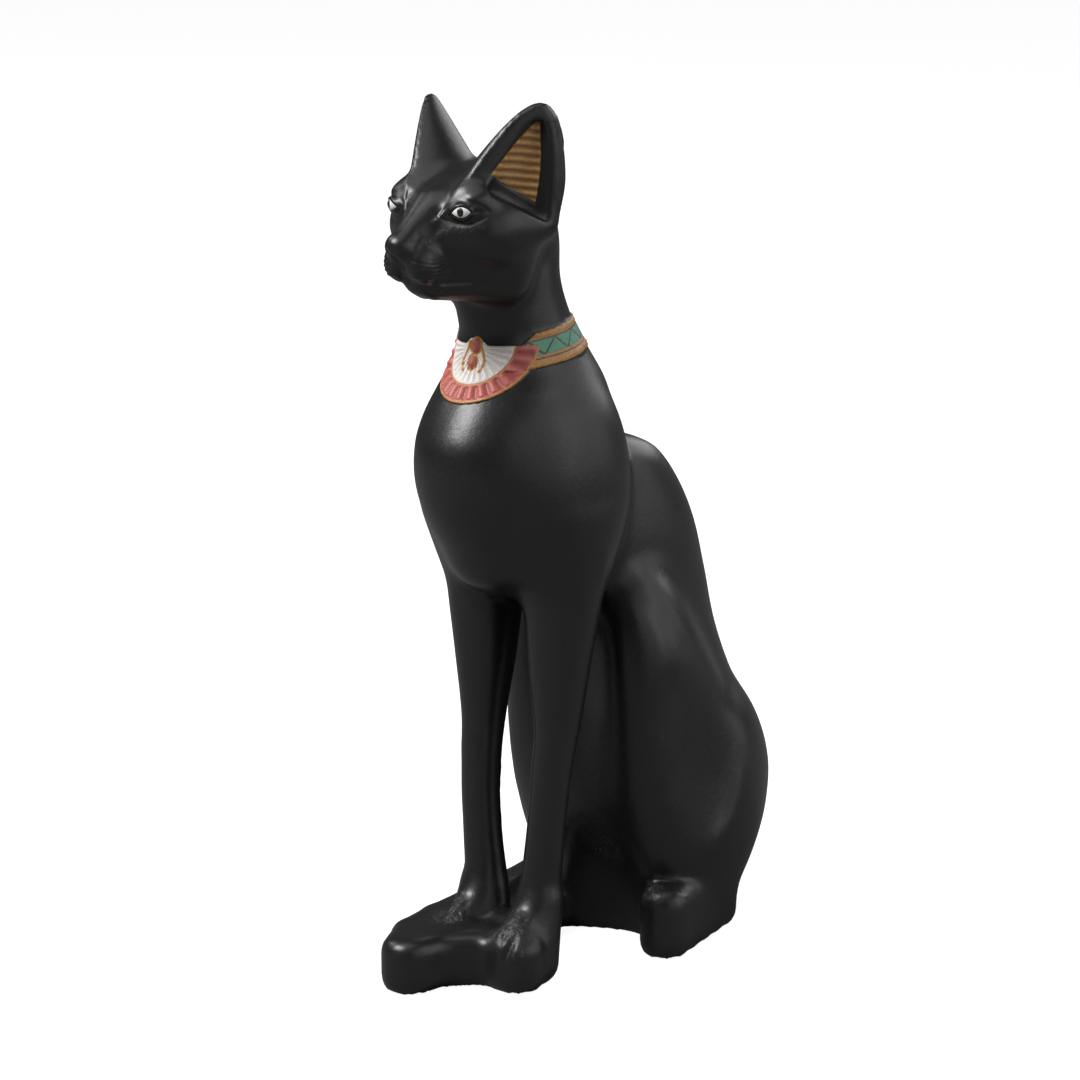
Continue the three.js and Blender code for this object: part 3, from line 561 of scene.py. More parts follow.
@dataclass
class Head:
    """Skull, face and ears."""

    ears: Ears = field(default_factory=Ears)
    eye: tuple[float, float, float] = (4.95, -13.85, 88.78)
    eye_axis: tuple[float, float, float] = (0.799, 0.598, 0.06)
    eye_half: float = 1.1
    eye_tall: float = 0.6
    iris_half: float = 0.35
    iris_tall: float = 0.5
    iris_shift: float = 0.06
    whisker_middle: tuple[float, float] = (-15.9, 87.0)
    whisker_pitch: float = 0.46
    whisker_depth: float = 0.09
    lip: Line = Line(
        ((0, -17.9, 82.2), (1.3, -16.3, 81.3), (2.7, -13.8, 81.0), (4.4, -10.9, 81.0), (5.6, -8.6, 81.3)),
        0.34, -0.2,
    )
    # Corner and tear of the eye, brow, fold below the mouth, split and wing of the nose, nostril,
    # front of the whisker pad, hollow behind the cheek, crease below the jaw
    face_lines: Sequence[Line] = (
        Line(((5.95, -13.3, 88.85), (6.8, -12.1, 88.85), (7.3, -11.2, 88.7)), 0.25, -0.1),
        Line(((3.9, -14.1, 88.6), (3.1, -15.0, 87.9), (2.6, -16.0, 86.8)), 0.6, -0.08),
        Line((
            (3.0, -13.0, 90.6), (4.6, -12.3, 91.4), (6.0, -11.1, 91.2),
            (6.4, -8.6, 91.0), (6.6, -6.4, 90.2), (7.2, -5.2, 89.0), (7.9, -4.9, 87.9),
        ), 0.5, 0.06),
        Line(((2.4, -13.9, 80.1), (3.4, -12.0, 79.9), (4.8, -10.0, 80.2), (5.7, -8.4, 80.6)), 0.3, -0.08),
        Line(((0, -19.2, 84.4), (0, -18.0, 82.6)), 0.28, -0.28),
        Line(((1.3, -17.9, 84.5), (1.6, -17.2, 85.4), (1.3, -16.8, 86.2)), 0.4, -0.14),
        Line(((0.4, -19.4, 84.9), (0.95, -18.8, 85.2)), 0.24, -0.2),
        Line(((1.0, -18.3, 84.2), (0.55, -18.0, 83.0), (0.4, -17.6, 82.2)), 0.3, -0.14),
        Line(((8.4, -9.0, 85.9), (8.5, -6.9, 84.8), (7.6, -3.6, 84.0), (5.6, -0.6, 83.2)), 1.4, -0.16),
        Line((
            (2.4, -11.8, 79.0), (4.3, -9.4, 79.2), (6.2, -6.7, 79.9), (6.0, -2.0, 81.3), (4.9, 1.5, 82.1),
        ), 1.1, -0.1),
    )
    rough_below_eye: Sequence[Point] = (
        (2.3, -16.2, 85.6), (3.6, -14.9, 86.6), (5.0, -13.9, 86.9), (6.2, -12.6, 87.2),
    )
    rough_beside_nose: Sequence[Point] = ((1.6, -17.4, 84.6), (1.2, -17.6, 83.2))

    def __post_init__(self) -> None:
        """Makes the masses in the order they are laid on, each with the fillet of its joint."""
        self.skull = ellipsoid((0, -4.6, 87.2), (8, 7.6, 5.9), tip=12)
        # Forehead, cheek, muzzle, bridge of the nose, jaw, brow, whisker pad, chin, tip of the nose
        self.masses = (
            (ellipsoid((0, -9, 87.3), (7.2, 6.6, 4.9), tip=22), 1.5),
            (ellipsoid((5.4, -7.4, 86.2), (3.3, 5, 3.9)), 2.0),
            (limb((0, -12.5, 86), (0, -16, 84.4), 3.5, 2.3), 1.2),
            (limb((0, -13, 88.9), (0, -18.1, 85.5), 1.9, 1.15), 1.4),
            (limb((0.6, -13.2, 81.05), (3.3, -5.6, 81.3), 2.1, 3.4), 2.6),
            (ellipsoid((4.4, -10.4, 89.8), (2.3, 3.1, 1.9), yaw=20), 1.2),
            (ellipsoid((1.75, -16.2, 83.1), (1.5, 2.05, 1.95)), 1.5),
            (ellipsoid((0, -14.8, 80.9), (1.6, 1.6, 1.3)), 0.8),
            (ellipsoid((0, -18.55, 85.2), (1.15, 0.9, 0.85), tip=30), 1.3),
        )
        self.socket = ellipsoid((4.5, -16.2, 88.9), (2.5, 2.6, 1.5), yaw=24)
        self.eyeball = ellipsoid((4.4, -12.6, 88.9), (1.6, 1.9, 1.3), yaw=24)
        self.mouth = limb((0.0, -18.6, 80.6), (2.4, -17.4, 80.6), 0.9, 0.7)

    def distance(self, left: Places) -> Array:
        """Measures the distance to the head with its ears.

        Args:
            left: Mirrored places.

        Returns:
            Distance to the head.
        """
        d = self.skull(left)
        for mass, fillet in self.masses:
            d = join(d, mass(left), fillet)
        d = carve(d, self.socket(left), 0.8)
        d = join(d, self.eyeball(left), 0.4)
        d = carve(d, self.mouth(left), 0.6)
        return self.ears.distance(d, left)

    def eye_place(self, left: Places) -> tuple[Array, Array, Array]:
        """Finds places on the eye.

        Args:
            left: Mirrored places.

        Returns:
            Along the eye towards its outer corner, up across it, and the distance from its middle.
        """
        dx, dy, dz = left.x - self.eye[0], left.y - self.eye[1], left.z - self.eye[2]
        ax, ay, az = self.eye_axis
        along = dx * ax + dy * ay + dz * az
        up = dz - az * along - 0.1 * (dx * ay - dy * ax)
        return along, up, np.sqrt(dx * dx + dy * dy + dz * dz)

    def lids(self, left: Places) -> Array:
        """Gives the height of the rim of the eye and of the creases above and below it.

        Args:
            left: Mirrored places.

        Returns:
            Height above the smooth form.
        """
        along, up, far = self.eye_place(left)
        lens = np.abs(up) / self.eye_tall + (along / self.eye_half) ** 2 - 1.0
        rim = 0.09 * line_mark(lens - 0.4, 0.26) - 0.08 * line_mark(lens - 0.06, 0.14)
        upper = up - 1.2 + 0.16 * (along - 0.2) ** 2
        lower = up + 1.25 - 0.12 * (along - 0.3) ** 2
        creases = 0.06 * line_mark(upper, 0.24) + 0.09 * line_mark(lower, 0.2)
        return ramp(3.4 - far, 0.0, 0.8) * (rim - creases)

    def whiskers(self, left: Places) -> Array:
        """Gives the height of the rows of whisker lines on the pad.

        Args:
            left: Mirrored places.

        Returns:
            Height above the smooth form.
        """
        ring = np.hypot(0.8 * (left.y - self.whisker_middle[0]), left.z - self.whisker_middle[1])
        pad = ramp(left.x, 0.7, 1.4) * ramp(84.3 - left.z, 0.0, 0.6) * ramp(left.z, 81.3, 81.8)
        pad = pad * ramp(-13.6 - left.y, 0.0, 1.4)
        return -self.whisker_depth * pad * (0.5 + 0.5 * np.cos(2 * math.pi * ring / self.whisker_pitch))

    def relief(self, left: Places) -> Array:
        """Gives the height of the carving on the head.

        Args:
            left: Mirrored places.

        Returns:
            Height above the smooth form.
        """
        height = self.lids(left) + self.whiskers(left) + rise_of(self.face_lines, left)
        return height + ramp(left.y, -8.6, -11.5) * self.lip.rise(left) + self.ears.relief(left)

    def rough(self, left: Places) -> Array:
        """Gives how rough the cast is left below the eye and beside the nose."""
        band, beside = path_gap(self.rough_below_eye, left), path_gap(self.rough_beside_nose, left)
        return np.maximum(0.8 * ramp(0.9 - band, 0.0, 0.8), 0.6 * ramp(0.7 - beside, 0.0, 0.6))


@dataclass
class Collar:
    """Collar around the foot of the neck, and the fan pendant on its front."""

    middle: float = 72.9
    rise: float = 0.11
    half: float = 1.75
    proud: float = 0.22
    rib: float = 0.42
    rib_proud: float = 0.12
    edge: float = 0.25
    radius: float = 6.4
    fan_x: float = 0.4
    fan_z: float = 73.0
    fan_axis_gap: float = 8.1
    fan_radius: float = 6.5
    fan_proud: float = 0.2
    fan_rim: float = 0.28
    fan_rim_proud: float = 0.08
    band_start: float = 4.45
    band_lean: float = 2.2
    white_radius: float = 4.15
    pleats: float = 28.0
    pleat_height: float = 0.15
    flutes: float = 32.0
    flute_height: float = 0.08
    # Each bead: its middle across and up, and half its width and height
    beads: Sequence[Point] = ((0.56, 73.15, 0.56, 0.78), (0.42, 71.4, 0.5, 0.66))
    curl_gap: float = 1.05
    facet_pitch: float = 3.6
    off_fan: float = 20.0
    axis_y: float = 1.2

    def across(self, p: Places) -> Array:
        """Gives the place across the band, from -1 at its lower edge to 1 at its upper one."""
        return (p.z - self.middle - self.rise * p.y) / self.half

    def around(self, p: Places) -> Array:
        """Gives the place around the neck, from the middle of its front."""
        return self.radius * np.arctan2(p.x, self.axis_y - p.y)

    def fan(self, p: Places) -> tuple[Array, Array]:
        """Finds places on the fan, measured over the skin from its middle.

        Args:
            p: Places.

        Returns:
            Distance from the middle and the turn from straight down.
        """
        from_axis = np.hypot(p.x, p.y - self.axis_y)
        along = from_axis * np.arctan2(p.x, self.axis_y - p.y) - self.fan_x
        drop = self.fan_z - p.z
        down = np.sign(drop) * np.sqrt(drop**2 + np.maximum(from_axis - self.fan_axis_gap, 0.0) ** 2)
        return np.hypot(along, down), np.arctan2(along, down)

    def fan_top(self, p: Places) -> Array:
        """Measures how far places lie above the top edge of the fan, which peaks at its beads."""
        return p.z - self.fan_z - 0.2 - 0.75 * np.exp(-(((p.x - self.fan_x) / 1.1) ** 4))

    def distance(self, skin: Array, p: Places) -> Array:
        """Measures the distance to the raised plates of the collar and the pendant.

        Args:
            skin: Distance to the neck.
            p: Places.

        Returns:
            Distance to the plates.
        """
        place = self.across(p)
        across = np.abs(place) * self.half
        band = overlap(skin - self.proud, across - self.half, self.edge)
        rib = np.abs(across - self.half + self.rib / 2) - self.rib / 2
        band = np.minimum(band, overlap(skin - self.proud - self.rib_proud, rib, self.edge))
        reach = self.fan(p)[0] - self.fan_radius
        outline = np.maximum(np.maximum(reach, self.fan_top(p)), p.y)
        rim = np.maximum(outline, -self.fan_rim - reach)
        plate = overlap(skin - self.fan_proud, outline, self.edge)
        edge = overlap(skin - self.fan_proud - self.fan_rim_proud, rim, self.edge)
        lean = self.band_lean * np.maximum(place - 0.3, 0.0)
        band = np.maximum(band, np.where(p.y < 0, self.band_start + lean - self.fan_radius - reach, -9.0))
        return np.minimum(band, np.minimum(plate, edge))

    def bead_distance(self, p: Places) -> Array:
        """Measures the distance to the two beads in the middle of the fan, seen from the front."""
        gaps = [oval(p.x - x, p.z - z, wide, tall) for x, z, wide, tall in self.beads]
        return np.where(p.y < 0, np.minimum.reduce(gaps), 3.0)

    def curl_distance(self, p: Places) -> Array:
        """Measures the distance to the gold curls on both sides of the beads."""
        bow = np.abs(np.abs(p.x - 0.48) - self.curl_gap - 0.3 * np.sin(1.5 * (p.z - 70.4)))
        return np.where(p.y < 0, np.maximum(bow, np.abs(p.z - 72.0) - 1.5), 3.0)

    def relief(self, p: Places) -> Array:
        """Gives the height of the pleats, flutes, beads and fine ridges.

        Args:
            p: Places.

        Returns:
            Height above the smooth form.
        """
        reach, turn = self.fan(p)
        reach = np.where(p.y < 0, reach, self.off_fan)
        white = self.white_radius
        on_fan = ramp(-self.fan_top(p), 0.05, 0.4)
        outer = on_fan * ramp(reach, white + 0.25, white + 0.5) * ramp(6.15 - reach, 0.0, 0.2)
        inner = on_fan * ramp(reach, 1.5, 2.2) * ramp(white - 0.05 - reach, 0.0, 0.2)
        height = outer * self.pleat_height * np.cos(self.pleats * turn)
        height = height + inner * self.flute_height * np.cos(self.flutes * turn)
        height = height - on_fan * 0.1 * line_mark(reach - white - 0.12, 0.12)
        bead = self.bead_distance(p)
        height = height + 0.24 * ramp(-bead, -0.1, 0.4) - 0.1 * line_mark(bead - 0.12, 0.1)
        height = height + 0.12 * line_mark(self.curl_distance(p), 0.16)
        across = self.across(p)
        on_band = (reach > self.fan_radius) & (np.abs(across) < 1.0)
        turns = self.around(p) / self.facet_pitch
        wave = 2 * np.abs(turns - np.floor(turns + 0.5))
        row = (across - 0.15) / 0.43
        facet = (wave - 0.5) * 2 - row * 0.9
        height = height - on_band * (np.abs(row) < 1) * 0.08 * line_mark(facet, 0.12)
        return height - on_band * 0.1 * (line_mark(across + 0.42, 0.05) + line_mark(across - 0.62, 0.05))

    def paint(self, p: Places) -> dict[Paint, Array]:
        """Gives the coordinates that the paint of the collar follows.

        Args:
            p: Places on the surface.

        Returns:
            Values by attribute.
        """
        reach, turn = self.fan(p)
        return {
            Paint.COLLAR_ACROSS: np.clip(self.across(p), -5.0, 5.0),
            Paint.COLLAR_ROUND: self.around(p),
            Paint.FAN_REACH: np.where(p.y < 0.3, reach, self.off_fan),
            Paint.FAN_ABOVE: np.maximum(self.fan_top(p), 0.0),
            Paint.FAN_TURN: turn,
            Paint.BEAD: np.minimum(self.bead_distance(p), 3.0),
            Paint.CURL: self.curl_distance(p),
        }


@dataclass
class Base:
    """Paws, tail and the webs of material between them, with upright walls.

    A stroke on the plan is given by its two ends, each with x, y and half width.
    """

    foot_height: float = 1.7
    foot_draw: float = 0.6
    tail_top: float = 6.3
    tail_edge: float = 2.2
    tail_fillet: float = 0.6
    paw_fillet: float = 2.4
    leg_fillet: float = 1.2
    tail: Sequence[Point] = (
        (1, 32, 3), (-7, 29.5, 3.2), (-10.8, 24, 3), (-10.9, 17, 2.6), (-9.6, 9, 2.4),
        (-8.8, 2, 2.5), (-8.1, -4, 2.6), (-6.7, -9.5, 2.9), (-4.2, -13.6, 3.1),
    )
    forepaw: Sequence[Point] = ((4.2, -1.8, 2.6), (4.9, -5.4, 3.2))
    paw_web: Sequence[Point] = ((-3.6, -9.8, 3.2), (1.2, -4.6, 3.2))
    # Web behind the forelegs, web beside the tail, left hind paw, right hind paw, web below the
    # rump: start, end, height of the top, rounding of its edge, fillet of the joint
    slabs: Sequence[tuple[Point, Point, float, float, float]] = (
        ((-3.4, -1.4, 1.7), (3.4, -1.4, 1.7), 6.8, 1.5, 1.5),
        ((-5.2, -9, 2.6), (-6.6, 20, 2.6), 5.0, 1.5, 1.0),
        ((7.8, 26.5, 3), (10.7, 14, 2.9), 8.3, 2.6, 3.0),
        ((-8, 27, 2.8), (-9.2, 17.2, 2.4), 7.6, 1.6, 1.4),
        ((-3, 24, 6), (1, 28.8, 5), 7.0, 2.0, 2.0),
    )
    toe_turns: Sequence[float] = (-1.2, 0.0, 1.2)
    flash_lines: Sequence[Sequence[Point]] = (
        ((-6.6, -4.5, 6.8), (-4.6, -8.5, 6.4)), ((-5.8, -3.6, 7.2), (-3.6, -7.4, 6.7)),
        ((-4.8, -3.4, 7.8), (-2.6, -6.6, 6.7)), ((3.0, -4.2, 7.6), (2.4, -7.4, 6.4)),
        ((4.2, -4.6, 7.6), (4.1, -8.0, 6.3)), ((5.6, -4.8, 7.3), (5.9, -7.8, 6.0)),
        ((6.6, -5.0, 6.8), (6.7, -7.4, 4.4)), ((5.9, -6.6, 6.2), (6.5, -7.9, 3.8)),
    )
    leg_seam: Sequence[Point] = ((-3.1, 0.6, 12), (-3.4, 1.5, 26), (-2.9, 2.6, 36))
    paw_hole: Sequence[Point] = ((9.5, 12.3, 7.9), (9.9, 11.9, 7.8))
    # Middle and reach of each rough spot
    rough_spots: Sequence[tuple[Point, float]] = (
        ((-4.5, -6.5, 6.8), 3.2), ((4.8, -6.2, 6.4), 3.2), ((6.6, -6.8, 4.6), 1.8),
        ((2.8, 12.9, 11.6), 3.6), ((10.4, 12.6, 7.9), 2.2),
    )

    def __post_init__(self) -> None:
        """Makes the rounded masses and the tools of the base."""
        self.instep = limb((4, -1.2, 7.6), (4.7, -5.6, 5.6), 2.3, 1.9)
        self.ankle = limb((4.6, -0.8, 9), (4.8, -2, 2), 2.4, 2.3)
        self.slot = limb((-5.4, -7.6, 7.2), (-7.2, 1.5, 7), 0.7, 0.9)
        self.wall_groove = limb((6.4, -6.2, 8.4), (5.7, -8.9, 3.8), 0.3, 0.4)
        self.slit = limb((9.3, 12, 7.9), (13.2, 15.6, 7.6), 0.45, 0.3)
        self.toe_grooves = [
            limb((4.4 + 0.9 * turn, -4.6, 8), (4.9 + 1.3 * turn, -8.6, 5.8), 0.15, 0.3)
            for turn in self.toe_turns
        ]

    def slab(self, plan: Array, z: Array, top: float, edge: float) -> Array:
        """Raises a wall on a plan, drawn in just above the floor.

        Args:
            plan: Distance to the plan.
            z: Heights.
            top: Height of its level top.
            edge: Rounding of the top edge.

        Returns:
            Distance to the slab.
        """
        low = np.maximum(self.foot_height - z, 0.0)
        return overlap(plan + self.foot_draw * (low / self.foot_height) ** 2, z - top, edge)

    @staticmethod
    def stroke(p: Places, start: Point, end: Point) -> Array:
        """Measures the distance on the plan to a tapered stroke.

        Args:
            p: Places.
            start: One end of the stroke.
            end: The other end.

        Returns:
            Distance to the stroke.
        """
        dx, dy = end[0] - start[0], end[1] - start[1]
        t = np.clip(((p.x - start[0]) * dx + (p.y - start[1]) * dy) / (dx * dx + dy * dy), 0.0, 1.0)
        gap = np.hypot(p.x - start[0] - t * dx, p.y - start[1] - t * dy)
        return gap - start[2] - (end[2] - start[2]) * t

    def distance(self, p: Places) -> Array:
        """Measures the distance to the whole base.

        Args:
            p: Places.

        Returns:
            Distance to the base.
        """
        left = p.mirrored
        plan = self.stroke(p, self.tail[0], self.tail[1])
        for start, end in zip(self.tail[1:], self.tail[2:]):
            plan = join(plan, self.stroke(p, start, end), self.tail_fillet)
        paws = join(self.stroke(left, *self.forepaw), self.stroke(p, *self.paw_web), self.paw_fillet)
        d = self.slab(join(plan, paws, self.paw_fillet), p.z, self.tail_top, self.tail_edge)
        for start, end, top, edge, fillet in self.slabs:
            d = join(d, self.slab(self.stroke(p, start, end), p.z, top, edge), fillet)
        for mass in (self.instep, self.ankle):
            d = join(d, mass(left), self.leg_fillet)
        return carve(d, self.slot(p), 0.5)

    def grooves(self, d: Array, p: Places) -> Array:
        """Cuts the toes and slits into the finished paws.

        Args:
            d: Distance to the cat.
            p: Places.

        Returns:
            Distance to the cat with its toes.
        """
        for groove in self.toe_grooves:
            d = carve(d, groove(p.mirrored), 0.3)
        return carve(carve(d, self.wall_groove(p), 0.4), self.slit(p), 0.3)

    def relief(self, p: Places) -> Array:
        """Gives the height of the rough flash lines that the mould left on the paws.

        Args:
            p: Places.

        Returns:
            Height above the smooth form.
        """
        gap = np.minimum.reduce([path_gap(line, p) for line in self.flash_lines])
        hole, seam = path_gap(self.paw_hole, p), path_gap(self.leg_seam, p)
        broken = 0.5 + 0.5 * np.sin(3.7 * p.x + 1.3 * p.y) * np.sin(2.9 * p.y - 2.1 * p.z)
        height = broken * (0.12 * line_mark(gap, 0.2) - 0.08 * line_mark(gap - 0.46, 0.24))
        height = height - 0.45 * line_mark(hole, 0.4) + 0.1 * line_mark(hole - 0.75, 0.2)
        return height + 0.14 * line_mark(seam, 0.28) * (0.6 + 0.4 * np.sin(2.3 * p.z) * np.sin(0.9 * p.z))

    def rough(self, p: Places) -> Array:
        """Gives how rough the cast is left: the tops of the paws, the slits and under the belly.

        Args:
            p: Places.

        Returns:
            Roughness from 0 to 1.
        """
        total = np.zeros_like(p.x)
        for middle, reach in self.rough_spots:
            gap = np.sqrt((p.x - middle[0]) ** 2 + (p.y - middle[1]) ** 2 + (p.z - middle[2]) ** 2)
            total = np.maximum(total, ramp(reach - gap, 0.0, reach * 0.6))
        return total


@dataclass
class CatForm:
    """The whole cat as one blended form."""

    front: Front = field(default_factory=Front)
    rear: Rear = field(default_factory=Rear)
    head: Head = field(default_factory=Head)
    collar: Collar = field(default_factory=Collar)
    base: Base = field(default_factory=Base)
    rear_fillet: float = 2.0
    neck_fillet: float = 1.6
    base_fillet: float = 0.9
    floor_edge: float = 0.12
    furthest_move: float = 0.8

    def distance(self, points: Array) -> Array:
        """Measures the distance to the cat.

        Args:
            points: Places, one row each.

        Returns:
            Distances, below zero inside.
        """
        p = Places(*points.T)
        left = p.mirrored
        d = self.front.distance(left)
        at = p.z < 66
        d[at] = join(d[at], self.rear.distance(p.where(at)), self.rear_fillet)
        at = p.z > 73
        d[at] = join(d[at], self.head.distance(left.where(at)), self.neck_fillet)
        at = np.abs(p.z - self.collar.middle) < 8
        skin = self.front.skin(left.where(at))
        d[at] = np.minimum(d[at], self.collar.distance(skin, p.where(at)))
        at = p.z <= 12
        low = join(d[at], self.base.distance(p.where(at)), self.base_fillet)
        d[at] = self.base.grooves(low, p.where(at))
        return overlap(d, -p.z, self.floor_edge)

    def normals(self, points: Array, probe: float = 0.03) -> Array:
        """Gives the slope of the distance at places.

        Args:
            points: Places.
            probe: Step between the two readings on each axis.

        Returns:
            Slopes, one row each.
        """
        slopes = [
            (self.distance(points + probe * axis) - self.distance(points - probe * axis)) / (2 * probe)
            for axis in np.eye(3)
        ]
        return np.stack(slopes, axis=1)

    def settle(self, points: Array, rounds: int) -> Array:
        """Moves places onto the surface.

        Args:
            points: Places near the surface.
            rounds: How often each is moved.

        Returns:
            Places on the surface.
        """
        for _ in range(rounds):
            slope = self.normals(points)
            size = np.maximum((slope**2).sum(axis=1), 0.25)
            move = np.clip(self.distance(points) / size, -self.furthest_move, self.furthest_move)
            points = points - move[:, None] * slope
        return points

    def relief(self, points: Array) -> Array:
        """Gives the height of all fine carving above the smooth form.

        Args:
            points: Places on the surface.

        Returns:
            Heights.
        """
        p = Places(*points.T)
        left = p.mirrored
        height = self.front.relief(left) + self.rear.relief(p)
        at = p.z > 78
        height[at] += self.head.relief(left.where(at))
        at = (p.z > 66) & (p.z < 76)
        height[at] += self.collar.relief(p.where(at))
        at = p.z < 40
        height[at] += self.base.relief(p.where(at))
        return height * ramp(p.z, 0.1, 0.8)

    def paint(self, points: Array) -> dict[Paint, Array]:
        """Gives the coordinates that the paint follows.

        Args:
            points: Places on the surface.

        Returns:
            Values by attribute.
        """
        p, head = Places(*points.T), self.head
        left = p.mirrored
        along, up, far = head.eye_place(left)
        strayed = 4.0 * np.maximum(far - 2.0, 0.0)
        iris = np.hypot((along + head.iris_shift) / head.iris_half, (up - head.iris_shift) / head.iris_tall)
        values = self.collar.paint(p)
        values[Paint.EAR_PANEL], values[Paint.EAR_RIB] = head.ears.panel(left)
        values[Paint.EYE_LENS] = np.abs(up) / head.eye_tall + (along / head.eye_half) ** 2 + strayed
        values[Paint.EYE_IRIS] = iris + strayed
        values[Paint.ROUGH] = np.maximum(self.base.rough(p), head.rough(left))
        return values


@dataclass
class Skin:
    """The fine skin of the cast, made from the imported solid."""

    form: CatForm
    node: str = "cat_figure"
    name: str = "painted_cat"
    voxel: float = 0.0014
    merge_gap: float = 0.00002

    def carved_parts(self, left: Places) -> Array:
        """Picks head, collar and forepaws, which get a finer skin."""
        z = left.z
        return (z > 78.5) | ((z > 66) & (z < 75.8)) | ((z > 2.5) & (z < 9) & (left.y < -2.5))

    def fine_parts(self, left: Places) -> Array:
        """Picks face, pendant and ear panels, which get a still finer one.

        Args:
            left: Mirrored places.

        Returns:
            True for each place in the region.
        """
        y, z = left.y, left.z
        face = (z > 80.5) & (z < 91) & (y < -11.3)
        pendant = (z > 66.6) & (z < 74.4) & (y < 0.3)
        return face | pendant | ((z > 88) & (self.form.head.ears.panel(left)[0] < 0.4))

    def finest_parts(self, left: Places) -> Array:
        """Picks the front of the pendant and the eyes, which get the finest one.

        Args:
            left: Mirrored places.

        Returns:
            True for each place in the region.
        """
        x, y, z = left.x, left.y, left.z
        pendant = (z > 66.6) & (z < 74.4) & (y < -3.0) & (x < 6.5)
        return pendant | ((z > 87.2) & (z < 90.4) & (y < -11.6) & (x > 2.8))

    def copy_solid(self, source: bpy.types.Object) -> bpy.types.Object:
        """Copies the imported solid, merges its corners and gives it an even skin.

        Args:
            source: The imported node.

        Returns:
            The new object.
        """
        piece = bpy.data.objects.new(self.name, source.data.copy())
        bpy.context.scene.collection.objects.link(piece)
        bpy.ops.object.select_all(action="DESELECT")
        piece.select_set(True)
        bpy.context.view_layer.objects.active = piece
        piece.data.materials.clear()
        self.edit(bpy.ops.mesh.remove_doubles, threshold=self.merge_gap)
        remesh = piece.modifiers.new("even_skin", "REMESH")
        remesh.mode = "VOXEL"
        remesh.voxel_size = self.voxel
        bpy.ops.object.modifier_apply(modifier=remesh.name)
        return piece

    @staticmethod
    def edit(action: Callable, **options: float) -> None:
        """Runs one edit on the whole mesh.

        Args:
            action: The edit.
            **options: Its settings.
        """
        bpy.ops.object.mode_set(mode="EDIT")
        bpy.ops.mesh.select_all(action="SELECT")
        action(**options)
        bpy.ops.object.mode_set(mode="OBJECT")

    @staticmethod
    def read(items: bpy.types.bpy_prop_collection, key: str) -> Array:
        """Reads a place of each vertex or face, in the sizes of the form.

        Args:
            items: Vertices or faces.
            key: Name of the place.

        Returns:
            Places, one row each.
        """
        flat = np.empty(len(items) * 3)
        items.foreach_get(key, flat)
        return flat.reshape(-1, 3) / UNIT + FORM_SHIFT

    @staticmethod
    def place(piece: bpy.types.Object, points: Array) -> None:
        """Writes the vertices back in metres."""
        piece.data.vertices.foreach_set("co", ((points - FORM_SHIFT) * UNIT).ravel())
        piece.data.update()

    def refine(self, piece: bpy.types.Object, wanted: Callable[[Places], Array]) -> None:
        """Divides the faces of one region in four.

        Args:
            piece: The skin.
            wanted: Tells which mirrored places are in the region.
        """
        centres = self.read(piece.data.polygons, "center")
        bpy.context.tool_settings.mesh_select_mode = (False, False, True)
        bpy.ops.object.mode_set(mode="EDIT")
        bpy.ops.mesh.select_all(action="DESELECT")
        bpy.ops.object.mode_set(mode="OBJECT")
        piece.data.polygons.foreach_set("select", wanted(Places(*centres.T).mirrored))
        bpy.ops.object.mode_set(mode="EDIT")
        bpy.ops.mesh.subdivide(number_cuts=1)
        bpy.ops.object.mode_set(mode="OBJECT")

    def even_out(self, piece: bpy.types.Object, repeat: int) -> None:
        """Spreads the vertices evenly over the skin."""
        self.edit(bpy.ops.mesh.vertices_smooth, factor=0.5, repeat=repeat)
        self.place(piece, self.form.settle(self.read(piece.data.vertices, "co"), 2))

    def build(self, source: bpy.types.Object, box: Sequence[Point]) -> bpy.types.Object:
        """Makes the finished skin.

        Args:
            source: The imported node.
            box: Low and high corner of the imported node, which the skin keeps to.

        Returns:
            The skin, with its paint coordinates.
        """
        piece = self.copy_solid(source)
        self.place(piece, self.form.settle(self.read(piece.data.vertices, "co"), 2))
        self.even_out(piece, 3)
        self.even_out(piece, 3)
        self.refine(piece, self.carved_parts)
        self.even_out(piece, 1)
        self.refine(piece, self.fine_parts)
        self.refine(piece, self.finest_parts)
        points = self.form.settle(self.read(piece.data.vertices, "co"), 3)
        slope = self.form.normals(points)
        slope /= np.maximum(np.linalg.norm(slope, axis=1), 1e-6)[:, None]
        for key, values in self.form.paint(points).items():
            layer = piece.data.attributes.new(key.value, "FLOAT", "POINT")
            layer.data.foreach_set("value", values.astype(np.float32))
        points = points + slope * self.form.relief(points)[:, None]
        low, high = (np.array(corner) / UNIT + FORM_SHIFT for corner in box)
        self.place(piece, np.clip(points, low, high))
        piece.data.polygons.foreach_set("use_smooth", np.ones(len(piece.data.polygons), bool))
        piece.data.update()
        triangles = sum(len(face.vertices) - 2 for face in piece.data.polygons)
        LOG.info("%s: %d vertices, %d triangles", piece.name, len(piece.data.vertices), triangles)
        return piece


@dataclass(frozen=True)
class Coat:
    """One paint: colour, darker colour for specks and for painted shade in grooves, roughness, strength of
    the painted groove shade.
    """

    colour: tuple[float, float, float]
    # Darker colour: random specks, and the painted shade laid into the grooves
    shade: tuple[float, float, float]
    roughness: float
    # Strength of the painted shade that darkens the grooves of this paint
    groove: float = 0.0


